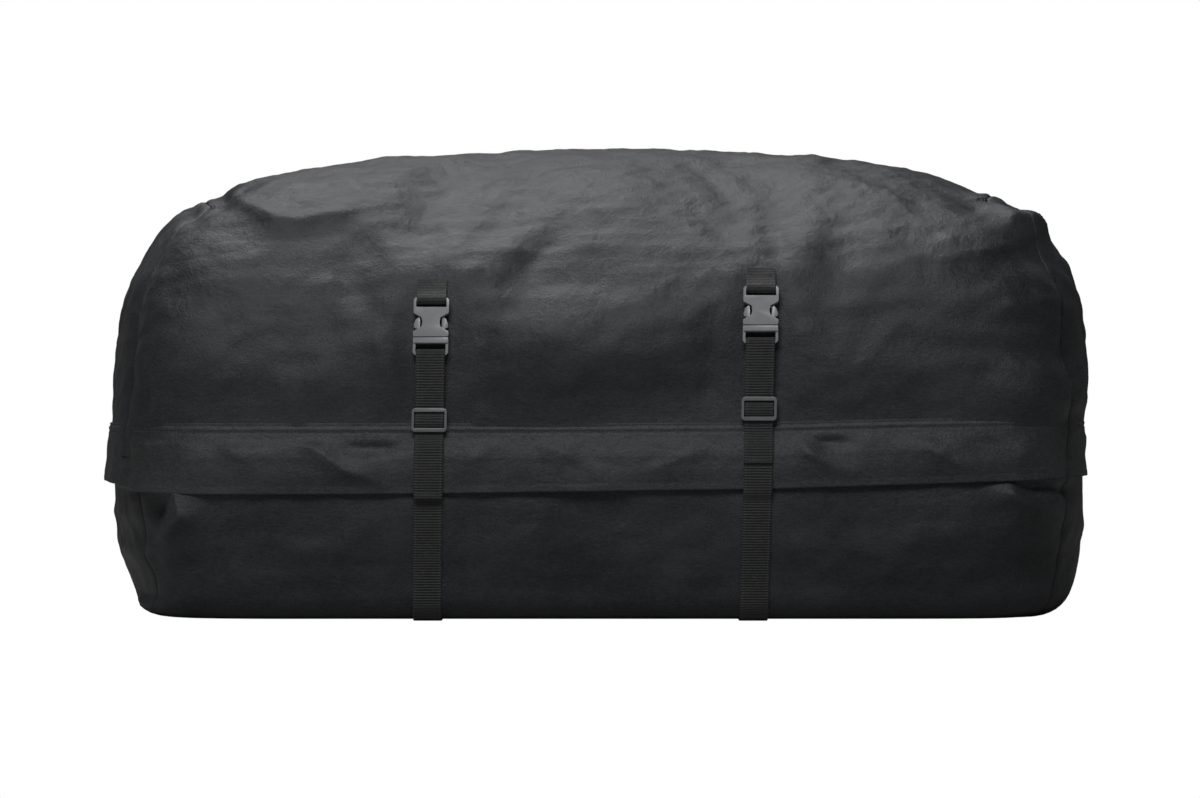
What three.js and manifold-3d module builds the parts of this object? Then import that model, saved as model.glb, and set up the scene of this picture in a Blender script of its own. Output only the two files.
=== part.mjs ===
// Soft roof cargo bag: a stuffed cloth bag with a domed lid, a shallow tub, a zip under a storm flap on
// the front and both sides, and two webbing straps that pass under it and close with side-release buckles.
// Millimetres, +Z up, front towards -Y. The origin is under the middle of the bag, on the straps' underside.
import * as THREE from "three";
import { mergeVertices } from "three/addons/utils/BufferGeometryUtils.js";
import Module from "manifold-3d";

const wasm = await Module();
wasm.setup();

// Bag
const halfWidth = 450; // at the widest level, middle of a side
const halfDepth = 482;
const domeFoot = 203; // height where the walls stop being upright and the dome begins
const domeRise = 229;
const frontFlatness = 12; // exponent of the plan outline across the front
const sideFlatness = 5; // exponent of the plan outline along the sides
const domeExponent = 3;
const crownHeight = 9; // how far the middle of the lid stands over the even dome
const crownReach = 110;
const crownAt = 8; // the crown's place across the lid
const cornerShare = 1.047; // where the corner seams stand, as width over depth seen from the middle
const cloth = 1.8;
const seamGap = 0.4;
const tubTaper = 0.04; // how much narrower the tub is near its base
const taperTop = 112;
const taperLength = 95;
const baseRadius = 24;
const seamPull = 5; // how far a corner seam is drawn in
const topSeamPull = 1.6;
const seamPullReach = 15;
const seamMeasure = 330; // turns a share across a seam into a length
const seamFade = 30; // height over the base where the seams run flat
const swellHeight = 1.6; // shallow swells of the stuffed cloth
const swellLength = 91;
const swellFoot = 20;
const zipStraight = 22; // height either side of the zip that carries no swells
const swellFade = 60;
const leanOut = 4; // the load fills the right side more than the left
const foldHeight = 7;
const foldBreadth = 9;

// Zip
const zipLevel = 140;
const hemAboveZip = 6;
const tapeWidth = 17;
const tapeThickness = 0.9;
const tapeBehindCloth = 0.3;
const coilDiameter = 4;
const coilGap = 1.7; // between the two halves, so that a slider's neck runs clear
const sliderLength = 14;
const sliderWidth = 12;
const sliderPlate = 1.2;
const sliderClear = 0.4;
const slidersMeetX = -13;
const slidersApart = 5;
const pullLength = 27;
const pullWidth = 9;
const pullThickness = 1.2;

// Storm flap
const flapTop = 175;
const flapBottom = 114.5;
const flapThickness = 1.6;
const flapGap = 0.3;
const flapFrontRoom = 5.3; // room over the zip along the front
const flapSideRoom = 1;
const flapSewnBand = 12; // the sewn part below the flap's top edge
const flapBend = 8;
const flapGape = 3; // the flap stands out a little where the sliders meet
const gapeReach = 42;
const flapWave = 0.7;
const flapWaveLength = 21;

// Straps and their hardware
const strapWidth = 25.4;
const strapThickness = 1.4;
const strapGap = 0.3;
const strapLean = 0.0185; // sideways drift per mm of height
const leanPivot = 190;
const leftStrapX = -146.5;
const rightStrapX = 142.5;
const rightFrontRise = 10; // the right front buckle sits higher than the left one
const backRise = 4;
const leftTailEnd = 110; // height of the loose end
const rightTailEnd = 141;
const backTailEnd = 114;
const straps = [
  { side: "left", x: leftStrapX, frontRise: 0, backRise, frontTail: leftTailEnd, backTail: backTailEnd },
  {
    side: "right",
    x: rightStrapX,
    frontRise: rightFrontRise,
    backRise,
    frontTail: rightTailEnd,
    backTail: backTailEnd,
  },
];
const slideHeight = 178.5; // middle of the tri-glide, before the rise
const buckleHeight = 259;
const hardwareWidth = 31;
const slideLength = 21;
const slideEndBar = 3.5;
const slideCentreBar = 4;
const slideBarThickness = 2.6;
const buckleThickness = 9.6;
const buckleStandoff = 0.6;
const bucklePlate = 1.9;
const latchThickness = 5;
const barThickness = 3.2;
const latchBarDrop = 23; // from the buckle's middle down to the latch's bar
const socketBarRise = 24.5; // from the buckle's middle up to the socket's bar
const tabLength = 20;
const pathStep = 6; // between the points of a strap's line
const strapSettle = 8; // length in which a strap comes down from a tri-glide

const underside = strapThickness + strapGap; // height of the base panel over the straps' underside

const group = new THREE.Group();

const finishes = {
  coated_cloth: { color: 0x1f2022, roughness: 0.62, metalness: 0 },
  flap_cloth: { color: 0x242528, roughness: 0.66, metalness: 0 },
  webbing: { color: 0x1b1b1d, roughness: 0.8, metalness: 0 },
  zip_tape: { color: 0x161617, roughness: 0.85, metalness: 0 },
  moulded_plastic: { color: 0x2c2d2f, roughness: 0.45, metalness: 0 },
  zip_metal: { color: 0x202123, roughness: 0.4, metalness: 0.6 },
};

function place(name, geometry, finish, parent = group) {
  const mesh = new THREE.Mesh(geometry, new THREE.MeshStandardMaterial(finishes[finish]));
  mesh.name = name;
  parent.add(mesh);
  return mesh;
}

// Solids: a closed geometry to a manifold and back
function toSolid(geometry) {
  const bare = geometry.clone();
  bare.deleteAttribute("normal");
  bare.deleteAttribute("uv");
  const merged = mergeVertices(bare, 1e-4);
  return new wasm.Manifold(
    new wasm.Mesh({
      numProp: 3,
      vertProperties: merged.attributes.position.array,
      triVerts: new Uint32Array(merged.index.array),
    }),
  );
}

function toGeometry(solid) {
  const mesh = solid.getMesh();
  const geometry = new THREE.BufferGeometry();
  geometry.setAttribute("position", new THREE.BufferAttribute(new Float32Array(mesh.vertProperties), 3));
  geometry.setIndex(new THREE.BufferAttribute(new Uint32Array(mesh.triVerts), 1));
  geometry.computeVertexNormals();
  return geometry;
}

// The bag's outline in plan, in units of the half sizes: how far (x, y) is out, with 1 on the outline
function planReach(x, y) {
  const ax = Math.abs(x);
  const ay = Math.abs(y);
  let low = Math.max(ax, ay);
  let high = low * 1.5 + 1e-9;
  for (let i = 0; i < 40; i++) {
    const middle = (low + high) / 2;
    const sum = (ax / middle) ** frontFlatness + (ay / middle) ** sideFlatness;
    if (sum > 1) low = middle;
    else high = middle;
  }
  return high;
}

function smooth(t) {
  const c = Math.min(1, Math.max(0, t));
  return c * c * (3 - 2 * c);
}

// Share of the full outline that the walls have at a height
function wallShare(z) {
  if (z >= domeFoot) {
    return Math.max(0, 1 - ((z - domeFoot) / domeRise) ** domeExponent) ** (1 / domeExponent);
  }
  return 1 - tubTaper * smooth((taperTop - z) / taperLength);
}

// A point of the smooth bag, without folds. The direction (dx, dy) is in units of the half sizes. Above the
// foot of the dome, rise runs from 0 to 1 up the wall. Below it, drop is the depth under the foot, and past
// the level of the base radius it is the length along that radius.
function domePoint(dx, dy, rise) {
  const reach = planReach(dx, dy);
  const size = (reach ** domeExponent + rise ** domeExponent) ** (-1 / domeExponent);
  return new THREE.Vector3(dx * size * halfWidth, dy * size * halfDepth, domeFoot + rise * size * domeRise);
}

function wallPoint(dx, dy, drop) {
  const reach = planReach(dx, dy);
  const straight = domeFoot - underside - baseRadius;
  const turn = Math.max(0, drop - straight) / baseRadius;
  const z = drop <= straight ? domeFoot - drop : underside + baseRadius * (1 - Math.sin(turn));
  const share = wallShare(Math.max(z, underside + baseRadius * 0.3));
  const out = new THREE.Vector3((dx / reach) * halfWidth * share, (dy / reach) * halfDepth * share, z);
  const inward = planNormal(out).multiplyScalar(-baseRadius * (1 - Math.cos(turn)));
  return turn > 0 ? out.add(inward) : out;
}

function planNormal(p) {
  const sx = Math.sign(p.x);
  const sy = Math.sign(p.y);
  const reach = planReach(p.x / halfWidth, p.y / halfDepth);
  const nx = (sx * frontFlatness * Math.abs(p.x / halfWidth / reach) ** (frontFlatness - 1)) / halfWidth;
  const ny = (sy * sideFlatness * Math.abs(p.y / halfDepth / reach) ** (sideFlatness - 1)) / halfDepth;
  return new THREE.Vector3(nx, ny, 0).normalize();
}

// Outward direction of the smooth bag at a point of it
function outward(p) {
  if (p.z > domeFoot) {
    const step = 0.5;
    const value = (x, y, z) =>
      planReach(x / halfWidth, y / halfDepth) ** domeExponent + ((z - domeFoot) / domeRise) ** domeExponent;
    const centre = value(p.x, p.y, p.z);
    const gx = value(p.x + step, p.y, p.z) - centre;
    const gy = value(p.x, p.y + step, p.z) - centre;
    const gz = value(p.x, p.y, p.z + step) - centre;
    return new THREE.Vector3(gx, gy, gz).normalize();
  }
  const out = planNormal(p);
  const lift = (underside + baseRadius - p.z) / baseRadius;
  if (lift > 0) {
    const turn = Math.asin(Math.min(1, lift));
    return out.multiplyScalar(Math.cos(turn)).add(new THREE.Vector3(0, 0, -Math.sin(turn)));
  }
  return out;
}

// Folds of the stuffed cloth, seen from the front: the crease from one end to the other, as shares of the
// half width and of the dome's height, how far it stands out (or in, below zero) in fold heights, and its
// half breadth in fold breadths. The back carries quieter ones at places of its own.
const frontFolds = [
  { path: [[-0.751, 0.896], [-0.667, 0.829]], out: 1, breadth: 1 }, // ridge at the upper left corner
  { path: [[-0.667, 0.829], [-0.48, 0.861]], out: 0.57, breadth: 1.11 },
  { path: [[-0.782, 0.859], [-0.756, 0.847]], out: -1.14, breadth: 1.44 },
  { path: [[-0.653, 0.907], [-0.333, 0.954]], out: 0.36, breadth: 1.78 },
  { path: [[-0.647, 0.556], [-0.6, 0.454]], out: 0.43, breadth: 1.44 },
  { path: [[0.8, 0.856], [0.829, 0.812]], out: 1, breadth: 0.89 }, // hooked crest at the upper right corner
  { path: [[0.829, 0.812], [0.893, 0.815]], out: 0.86, breadth: 0.89 },
  { path: [[0.893, 0.778], [0.933, 0.745]], out: -1, breadth: 1.33 },
  { path: [[0.487, 0.894], [0.624, 0.831]], out: 0.43, breadth: 1 },
  { path: [[0.567, 0.799], [0.616, 0.75]], out: 0.43, breadth: 1 },
  { path: [[0.678, 0.792], [0.724, 0.745]], out: 0.43, breadth: 1 },
  { path: [[0.782, 0.634], [0.876, 0.637]], out: 0.36, breadth: 0.89 },
  { path: [[-0.844, 0.238], [-0.818, 0.204]], out: 0.86, breadth: 1 }, // pucker under the flap, left
  { path: [[-0.818, 0.204], [-0.867, 0.157]], out: 0.86, breadth: 1 },
  { path: [[-0.88, 0.236], [-0.869, 0.213]], out: -0.86, breadth: 1 },
  { path: [[0.802, 0.241], [0.84, 0.213]], out: 0.71, breadth: 1 }, // pucker under the flap, right
  { path: [[0.84, 0.213], [0.893, 0.208]], out: 0.57, breadth: 1 },
  { path: [[0.862, 0.245], [0.889, 0.243]], out: -0.71, breadth: 0.89 },
];
const backFolds = [
  { path: [[-0.767, 0.889], [-0.627, 0.824]], out: 0.71, breadth: 1.22 },
  { path: [[0.751, 0.898], [0.64, 0.833]], out: 0.71, breadth: 1.22 },
  { path: [[-0.871, 0.241], [-0.827, 0.181]], out: 0.57, breadth: 1 },
  { path: [[0.867, 0.255], [0.827, 0.194]], out: 0.57, breadth: 1 },
];

function distanceToSegment(x, z, [x0, z0], [x1, z1]) {
  const dx = x1 - x0;
  const dz = z1 - z0;
  const t = Math.min(1, Math.max(0, ((x - x0) * dx + (z - z0) * dz) / (dx * dx + dz * dz)));
  return Math.hypot(x - x0 - t * dx, z - z0 - t * dz);
}

function foldRelief(p) {
  const front = smooth((-p.y / halfDepth - 0.52) / 0.17);
  const back = smooth((p.y / halfDepth - 0.52) / 0.17);
  const top = domeFoot + domeRise;
  let sum = 0;
  for (const [folds, weight] of [[frontFolds, front], [backFolds, back]]) {
    if (weight === 0) continue;
    for (const { path, out, breadth } of folds) {
      const [from, to] = path.map(([across, up]) => [across * halfWidth, up * top]);
      const d = distanceToSegment(p.x, p.z, from, to) / (breadth * foldBreadth);
      if (d < 3) sum += weight * out * foldHeight * Math.exp(-d * d);
    }
  }
  return sum;
}

// Seams draw the cloth in along the corners and along the tops of the side panels
function seamRelief(p) {
  const across = Math.abs(p.x / halfWidth) / cornerShare;
  const deep = Math.abs(p.y / halfDepth);
  const high = (p.z - domeFoot) / domeRise;
  const d = ((across - Math.max(deep, high)) * seamMeasure) / seamPullReach;
  const pull = topSeamPull + (seamPull - topSeamPull) * smooth((deep - high - 0.3) / 0.5);
  const fade = smooth((p.z - underside) / seamFade);
  return -pull * fade * Math.exp(-d * d);
}

// Shallow swells between the seams of the stuffed bag, none along the zip, which stays straight
function swell(p) {
  const fade =
    smooth((p.z - swellFoot) / swellFoot / 2) * smooth((Math.abs(p.z - zipLevel) - zipStraight) / swellFade);
  const along = Math.sin(p.x / swellLength + 0.7) * Math.sin(p.y / swellLength / 1.26 - 0.4);
  return fade * swellHeight * along * Math.cos((p.z / swellLength) * 1.55);
}

// The load: a crown in the middle of the lid, and more fill on the right than on the left
function fill(p) {
  const up = smooth((p.z - domeFoot) / domeRise / 0.6);
  const d = (p.x - crownAt) / crownReach;
  const sideways = leanOut * (p.x / halfWidth) ** 3;
  return up * (crownHeight * smooth((p.z - domeFoot) / domeRise - 0.2) * Math.exp(-d * d) + sideways);
}

function relief(p) {
  return foldRelief(p) + seamRelief(p) + swell(p) + fill(p);
}

function skin(p, lift) {
  return p.clone().addScaledVector(outward(p), relief(p) + lift);
}

// A closed sheet over a grid: outer(i, j) and inner(i, j) give the two faces
function sheet(columns, rows, outer, inner) {
  const positions = [];
  const index = [];
  const at = (side, i, j) => side * columns * rows + j * columns + i;
  for (const face of [outer, inner]) {
    for (let j = 0; j < rows; j++) {
      for (let i = 0; i < columns; i++) {
        const p = face(i, j);
        positions.push(p.x, p.y, p.z);
      }
    }
  }
  const quad = (a, b, c, d) => index.push(a, b, c, a, c, d);
  for (let j = 0; j + 1 < rows; j++) {
    for (let i = 0; i + 1 < columns; i++) {
      quad(at(0, i, j), at(0, i + 1, j), at(0, i + 1, j + 1), at(0, i, j + 1));
      quad(at(1, i, j), at(1, i, j + 1), at(1, i + 1, j + 1), at(1, i + 1, j));
    }
  }
  for (let i = 0; i + 1 < columns; i++) {
    quad(at(0, i + 1, 0), at(0, i, 0), at(1, i, 0), at(1, i + 1, 0));
    quad(at(0, i, rows - 1), at(0, i + 1, rows - 1), at(1, i + 1, rows - 1), at(1, i, rows - 1));
  }
  for (let j = 0; j + 1 < rows; j++) {
    quad(at(0, 0, j), at(0, 0, j + 1), at(1, 0, j + 1), at(1, 0, j));
    quad(at(0, columns - 1, j + 1), at(0, columns - 1, j), at(1, columns - 1, j), at(1, columns - 1, j + 1));
  }
  const geometry = new THREE.BufferGeometry();
  geometry.setAttribute("position", new THREE.BufferAttribute(new Float32Array(positions), 3));
  geometry.setIndex(index);
  geometry.computeVertexNormals();
  return geometry;
}

// Faces out: a sheet whose grid runs the other way round is turned
function facingOut(geometry) {
  const solid = toSolid(geometry);
  if (solid.volume() > 0) return geometry;
  const index = Array.from(geometry.index.array);
  for (let i = 0; i < index.length; i += 3) {
    const second = index[i + 1];
    index[i + 1] = index[i + 2];
    index[i + 2] = second;
  }
  geometry.setIndex(index);
  geometry.computeVertexNormals();
  return geometry;
}

function spread(from, to, steps, crowd = 0) {
  const list = [];
  for (let i = 0; i <= steps; i++) {
    const t = i / steps;
    list.push(from + (to - from) * (t - (crowd * Math.sin(2 * Math.PI * t)) / (2 * Math.PI)));
  }
  return list;
}

const trim = seamGap / 2 / halfWidth;
const frontColumns = spread(-cornerShare + trim, cornerShare - trim, 26, 0.45);
const sideColumns = spread(-1 + trim, 1 - trim, 14, 0.4);
const hemHeight = zipLevel + hemAboveZip;
const tubTop = zipLevel - hemAboveZip;
const backSeam = zipLevel; // the lid's back wall is sewn to the tub's at this level
const straightDrop = domeFoot - underside - baseRadius;
const hemRows = [hemHeight, zipLevel * 1.114, flapTop - flapSewnBand, flapTop, flapTop * 1.057];

// A point of a panel: heights below the dome's foot are drops, heights above it are rises from 0 to 1
function panelPoint(dx, dy, level) {
  return level.rise === undefined ? wallPoint(dx, dy, level.drop) : domePoint(dx, dy, level.rise);
}

// Lid: the front wall, the top and the back wall are one cut of cloth, with a side panel at each end
const domeRises = spread(0, 1, 9);

function lidMainPanel() {
  const across = frontColumns;
  const rows = [];
  const wallLevels = hemRows.map((z) => domeFoot - z);
  const tops = spread(-1, 1, 14, 0.35);
  wallLevels.forEach((drop) => rows.push((u) => wallPoint(u, -1, drop)));
  domeRises.forEach((rise) => rows.push((u) => domePoint(u, -1, rise)));
  tops.slice(1, -1).forEach((y) => rows.push((u) => domePoint(u, y, 1)));
  domeRises
    .slice()
    .reverse()
    .forEach((rise) => rows.push((u) => domePoint(u, 1, rise)));
  rows.push((u) => wallPoint(u, 1, domeFoot - flapTop));
  rows.push((u) => wallPoint(u, 1, domeFoot - backSeam - seamGap / 2));
  const face = (lift) => (i, j) => skin(rows[j](across[i]), lift);
  place("lid_main_panel", facingOut(sheet(across.length, rows.length, face(0), face(-cloth))), "coated_cloth");
}

function lidSidePanel(side, sign) {
  const along = sideColumns;
  const levels = hemRows.map((z) => ({ drop: domeFoot - z }));
  domeRises.slice(0, -1).forEach((rise) => levels.push({ rise }));
  levels.push({ rise: 1 - trim * 1.6 });
  const face = (lift) => (i, j) => skin(panelPoint(sign * cornerShare, along[i], levels[j]), lift);
  const geometry = sheet(along.length, levels.length, face(0), face(-cloth));
  place("lid_side_panel_" + side, facingOut(geometry), "coated_cloth");
}

// Tub: four walls that turn under at the base radius, and a flat base
function tubLevels(top, heights) {
  const drops = [top, ...heights].map((z) => domeFoot - z).concat(straightDrop);
  [0.3, 0.6, 0.85, 1].forEach((t) => drops.push(straightDrop + (t * baseRadius * Math.PI) / 2));
  return drops.map((drop) => ({ drop }));
}

function tubWall(name, top, heights, along, direction) {
  const levels = tubLevels(top, heights);
  const face = (lift) => (i, j) => skin(panelPoint(...direction(along[i]), levels[j]), lift);
  place(name, facingOut(sheet(along.length, levels.length, face(0), face(-cloth))), "coated_cloth");
}

function tub() {
  const creased = [1.075, 1, 0.91, 0.82, 0.73, 0.63, 0.49, 0.35].map((t) => t * flapBottom);
  const plain = [1.075, 1, 0.79, 0.52, 0.37].map((t) => t * flapBottom);
  tubWall("tub_front_panel", tubTop, creased, frontColumns, (u) => [u, -1]);
  tubWall("tub_back_panel", backSeam - seamGap / 2, plain, frontColumns, (u) => [u, 1]);
  tubWall("tub_side_panel_left", tubTop, plain, sideColumns, (v) => [-cornerShare, v]);
  tubWall("tub_side_panel_right", tubTop, plain, sideColumns, (v) => [cornerShare, v]);

  const round = frontColumns.map((u) => [u, -1]);
  sideColumns.slice(1, -1).forEach((v) => round.push([cornerShare, v]));
  frontColumns.slice().reverse().forEach((u) => round.push([u, 1]));
  sideColumns.slice(1, -1).reverse().forEach((v) => round.push([-cornerShare, v]));
  const turnEnd = straightDrop + (baseRadius * Math.PI) / 2;
  const ring = round.map(([dx, dy]) => {
    const p = wallPoint(dx, dy, turnEnd);
    const q = p.clone().addScaledVector(planNormal(p), -seamGap);
    return new THREE.Vector2(q.x, q.y);
  });
  // points in line with both neighbours are left out
  const outline = ring.filter((p, i) => {
    const a = ring[(i + ring.length - 1) % ring.length];
    const b = ring[(i + 1) % ring.length];
    return Math.abs((p.x - a.x) * (b.y - p.y) - (p.y - a.y) * (b.x - p.x)) > 0.05;
  });
  const plate = new THREE.ExtrudeGeometry(new THREE.Shape(outline), { depth: cloth, bevelEnabled: false });
  plate.translate(0, 0, underside);
  place("tub_base_panel", plate, "coated_cloth");
}

// Storm flap: sewn to the lid along its top, hanging over the zip
function flapRoom(p) {
  const z = p.z;
  const frontShare = p.y < 0 ? 1 - smooth((Math.abs(p.x / halfWidth) - 0.72) / 0.16) : 0;
  const most = flapSideRoom + (flapFrontRoom - flapSideRoom) * frontShare;
  const sewn = flapTop - flapSewnBand;
  const hip = zipLevel - 0.6 * flapBend;
  const upper = smooth((sewn - z) / (sewn - zipLevel - flapBend));
  const lower = smooth((hip - z) / (hip - flapBottom));
  const hang = 0.42 * most + flapGap;
  return flapGap + (most - flapGap) * upper - (most - hang) * lower;
}

function flapSkin(p, lift) {
  const out = outward(p);
  const gape = flapGape * Math.exp(-(((p.x - slidersMeetX) / gapeReach) ** 2)) * (p.y < 0 ? 1 : 0);
  const loose = smooth((zipLevel - p.z) / (zipLevel - flapBottom));
  const wave = loose * flapWave * (Math.sin(p.x / flapWaveLength + 1.1) + Math.sin((p.y / flapWaveLength) * 0.82));
  return p.clone().addScaledVector(out, relief(p) + flapRoom(p) + Math.max(0, wave) + gape * loose + lift);
}

function flap(name, along, direction) {
  const middle = [-1.0, 0, 1.0, 2.0].map((t) => zipLevel + t * flapBend);
  const heights = [flapBottom, flapBottom * 1.075, ...middle, flapTop - flapSewnBand, flapTop];
  const levels = heights.map((z) => domeFoot - z);
  const face = (lift) => (i, j) => flapSkin(wallPoint(...direction(along[i]), levels[j]), lift);
  place(name, facingOut(sheet(along.length, levels.length, face(flapThickness), face(0))), "flap_cloth");
}

function flaps() {
  flap("flap_front", frontColumns, (u) => [u, -1]);
  flap("flap_left", sideColumns, (v) => [-cornerShare, v]);
  flap("flap_right", sideColumns, (v) => [cornerShare, v]);
}

// Zip: each stringer is a tape with its half of the coil, swept round the front and both sides
function zipTrack() {
  const sides = sideColumns.slice(1, -1);
  const directions = sides.slice().reverse().map((v) => [-cornerShare, v]);
  directions.push([-cornerShare, -1]);
  frontColumns.slice(1, -1).forEach((u) => directions.push([u, -1]));
  directions.push([cornerShare, -1]);
  return directions.concat(sides.map((v) => [cornerShare, v]));
}

const tapeFace = -cloth - tapeBehindCloth;
const coilCentre = tapeFace - tapeThickness / 2;

function stringer(name, sign) {
  const track = zipTrack();
  const edge = coilGap / 2;
  const section = [
    [edge, coilCentre + coilDiameter * 0.28],
    [edge + coilDiameter * 0.22, coilCentre + coilDiameter / 2],
    [edge + coilDiameter * 0.62, coilCentre + coilDiameter / 2],
    [edge + coilDiameter * 0.8, tapeFace],
    [tapeWidth, tapeFace],
    [tapeWidth, tapeFace - tapeThickness],
    [edge + coilDiameter * 0.8, tapeFace - tapeThickness],
    [edge + coilDiameter * 0.62, coilCentre - coilDiameter / 2],
    [edge + coilDiameter * 0.22, coilCentre - coilDiameter / 2],
    [edge, coilCentre - coilDiameter * 0.28],
  ];
  const positions = [];
  for (const [dx, dy] of track) {
    for (const [height, offset] of section) {
      const p = wallPoint(dx, dy, domeFoot - zipLevel - sign * height);
      const q = skin(p, offset);
      positions.push(q.x, q.y, q.z);
    }
  }
  const n = section.length;
  const index = [];
  for (let k = 0; k + 1 < track.length; k++) {
    for (let i = 0; i < n; i++) {
      const a = k * n + i;
      const b = k * n + ((i + 1) % n);
      index.push(a, b, b + n, a, b + n, a + n);
    }
  }
  const points = section.map(([height, offset]) => new THREE.Vector2(height, offset));
  const last = (track.length - 1) * n;
  const turned = THREE.ShapeUtils.isClockWise(points);
  for (const [a, b, c] of THREE.ShapeUtils.triangulateShape(points, [])) {
    if (turned) {
      index.push(a, b, c, last + a, last + c, last + b);
    } else {
      index.push(a, c, b, last + a, last + b, last + c);
    }
  }
  const geometry = new THREE.BufferGeometry();
  geometry.setAttribute("position", new THREE.BufferAttribute(new Float32Array(positions), 3));
  geometry.setIndex(index);
  place(name, facingOut(geometry), "zip_tape");
}

function box(x0, x1, y0, y1, z0, z1) {
  const geometry = new THREE.BoxGeometry(x1 - x0, y1 - y0, z1 - z0);
  return geometry.translate((x0 + x1) / 2, (y0 + y1) / 2, (z0 + z1) / 2);
}

function joined(list) {
  return list.map(toSolid).reduce((sum, solid) => sum.add(solid));
}

// One slider and its pull, drawn for travel towards -x, with y = 0 on the cloth's outer face and y
// falling outwards. The other one is the same, turned to travel towards +x.
const frontFace = -halfDepth;
const crownX = -1.5;
const crownOut = sliderClear + sliderPlate;

function sliderParts() {
  const outerLow = -(coilCentre + coilDiameter / 2 + sliderClear);
  const innerHigh = -(coilCentre - coilDiameter / 2 - sliderClear);
  const half = sliderLength / 2;
  const wide = sliderWidth / 2;
  const neck = coilGap / 2 - sliderClear;
  const plateOuter = box(-half, half, outerLow - sliderPlate, outerLow, -wide, wide);
  const plateInner = box(-half, half, innerHigh, innerHigh + sliderPlate, -wide, wide);
  const post = box(half - 4, half - 0.5, outerLow - 0.2, innerHigh + 0.2, -neck, neck);
  const face = outerLow - sliderPlate;
  const legs = [1, -1].map((s) => box(crownX - 1, crownX + 1, face - 2.4, face + 0.2, s * 2.7 - 0.6, s * 2.7 + 0.6));
  const bridge = box(crownX - 1, crownX + 1, face - 3.4, face - 2.2, -3.3, 3.3);
  const body = joined([plateOuter, plateInner, post, ...legs, bridge]);
  return { body: toGeometry(body), face };
}

function pullParts(face) {
  const back = face - 0.35;
  const outline = new THREE.Shape();
  const wide = pullWidth / 2;
  const eye = crownX + 1.6;
  outline.moveTo(eye, -1.7);
  outline.lineTo(eye, 1.7);
  outline.lineTo(crownX - 3.2, 1.7);
  outline.lineTo(crownX - 6, wide);
  outline.lineTo(crownX - pullLength + 2, wide);
  outline.lineTo(crownX - pullLength, wide - 2);
  outline.lineTo(crownX - pullLength, -wide + 2);
  outline.lineTo(crownX - pullLength + 2, -wide);
  outline.lineTo(crownX - 6, -wide);
  outline.lineTo(crownX - 3.2, -1.7);
  const plate = new THREE.ExtrudeGeometry(outline, { depth: pullThickness, bevelEnabled: false });
  plate.rotateX(Math.PI / 2);
  plate.translate(0, back, 0);
  return plate;
}

function sliders() {
  const { body, face } = sliderParts();
  const pull = pullParts(face);
  for (const [side, turn] of [["left", 0], ["right", 1]]) {
    const sign = turn ? 1 : -1;
    const carrier = new THREE.Group();
    carrier.position.set(slidersMeetX + (sign * (sliderLength + slidersApart)) / 2, frontFace, zipLevel);
    carrier.scale.x = turn ? -1 : 1;
    group.add(carrier);
    place("zipper_slider_" + side, body, "zip_metal", carrier);
    place("zipper_pull_" + side, pull, "zip_metal", carrier);
  }
}

// The stops that close both ends of the chain
function zipStops() {
  const track = zipTrack();
  for (const [side, direction, before] of [
    ["left", track[0], track[1]],
    ["right", track[track.length - 1], track[track.length - 2]],
  ]) {
    const p = wallPoint(direction[0], direction[1], domeFoot - zipLevel);
    const q = wallPoint(before[0], before[1], domeFoot - zipLevel);
    const along = p.clone().sub(q).normalize();
    const out = outward(p);
    const stop = box(-2, 2, -1.7, 1.7, -4, 4);
    const centre = p.clone().addScaledVector(out, coilCentre - 0.6 + relief(p)).addScaledVector(along, 2.6);
    const mesh = place("zipper_stop_" + side, stop, "zip_metal");
    const up = new THREE.Vector3(0, 0, 1);
    mesh.matrixAutoUpdate = false;
    mesh.matrix.makeBasis(along, new THREE.Vector3().crossVectors(up, along), up).setPosition(centre);
  }
}

// Straps: everything is drawn in the plane across the front wall, as height and distance out of the wall
function wallProfile(z) {
  const share = wallShare(z);
  const step = 0.5;
  const slope = (wallShare(z + step) - wallShare(z - step)) / (2 * step);
  const tangent = new THREE.Vector2(-slope * halfDepth, 1).normalize();
  return { y: -share * halfDepth, tangent, out: new THREE.Vector2(-tangent.y, tangent.x) };
}

// From (height, distance out) to (y, z), following the curve of the wall
function offWall(z, n) {
  const { y, out } = wallProfile(z);
  return new THREE.Vector2(y + out.x * n, z + out.y * n);
}

// A rigid frame that touches the wall at a height: along it and out of it
function wallFrame(z) {
  const { y, tangent, out } = wallProfile(z);
  return (s, n) => new THREE.Vector2(y + tangent.x * s + out.x * n, z + tangent.y * s + out.y * n);
}

// A strap's line on one wall: x of the strap, and whether it is the front wall, which has the flap
// How far the cloth under it stands off the smooth wall at a height
function underStrap(z, line) {
  const p = new THREE.Vector3(0, line.front ? -wallShare(z) * halfDepth : wallShare(z) * halfDepth, z);
  let most = -5;
  for (const offset of [-0.5, 0, 0.5]) {
    p.x = line.x + offset * hardwareWidth;
    most = Math.max(most, relief(p));
  }
  if (!line.front || z > flapTop || z < flapBottom) return most + 0.1;
  return most + flapRoom(p) + flapThickness + 0.1;
}

function support(z, line, reach = 6) {
  let most = -5;
  for (let d = -reach; d <= reach; d += reach / 3) most = Math.max(most, underStrap(z + d, line));
  return most;
}

const layer = strapThickness + strapGap;
const slideInner = strapGap + slideBarThickness + strapGap + strapThickness / 2;

// The cloth's level under a tri-glide
function slideLevel(slideZ, line) {
  return support(slideZ, line, slideLength / 2 + 6);
}

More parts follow.
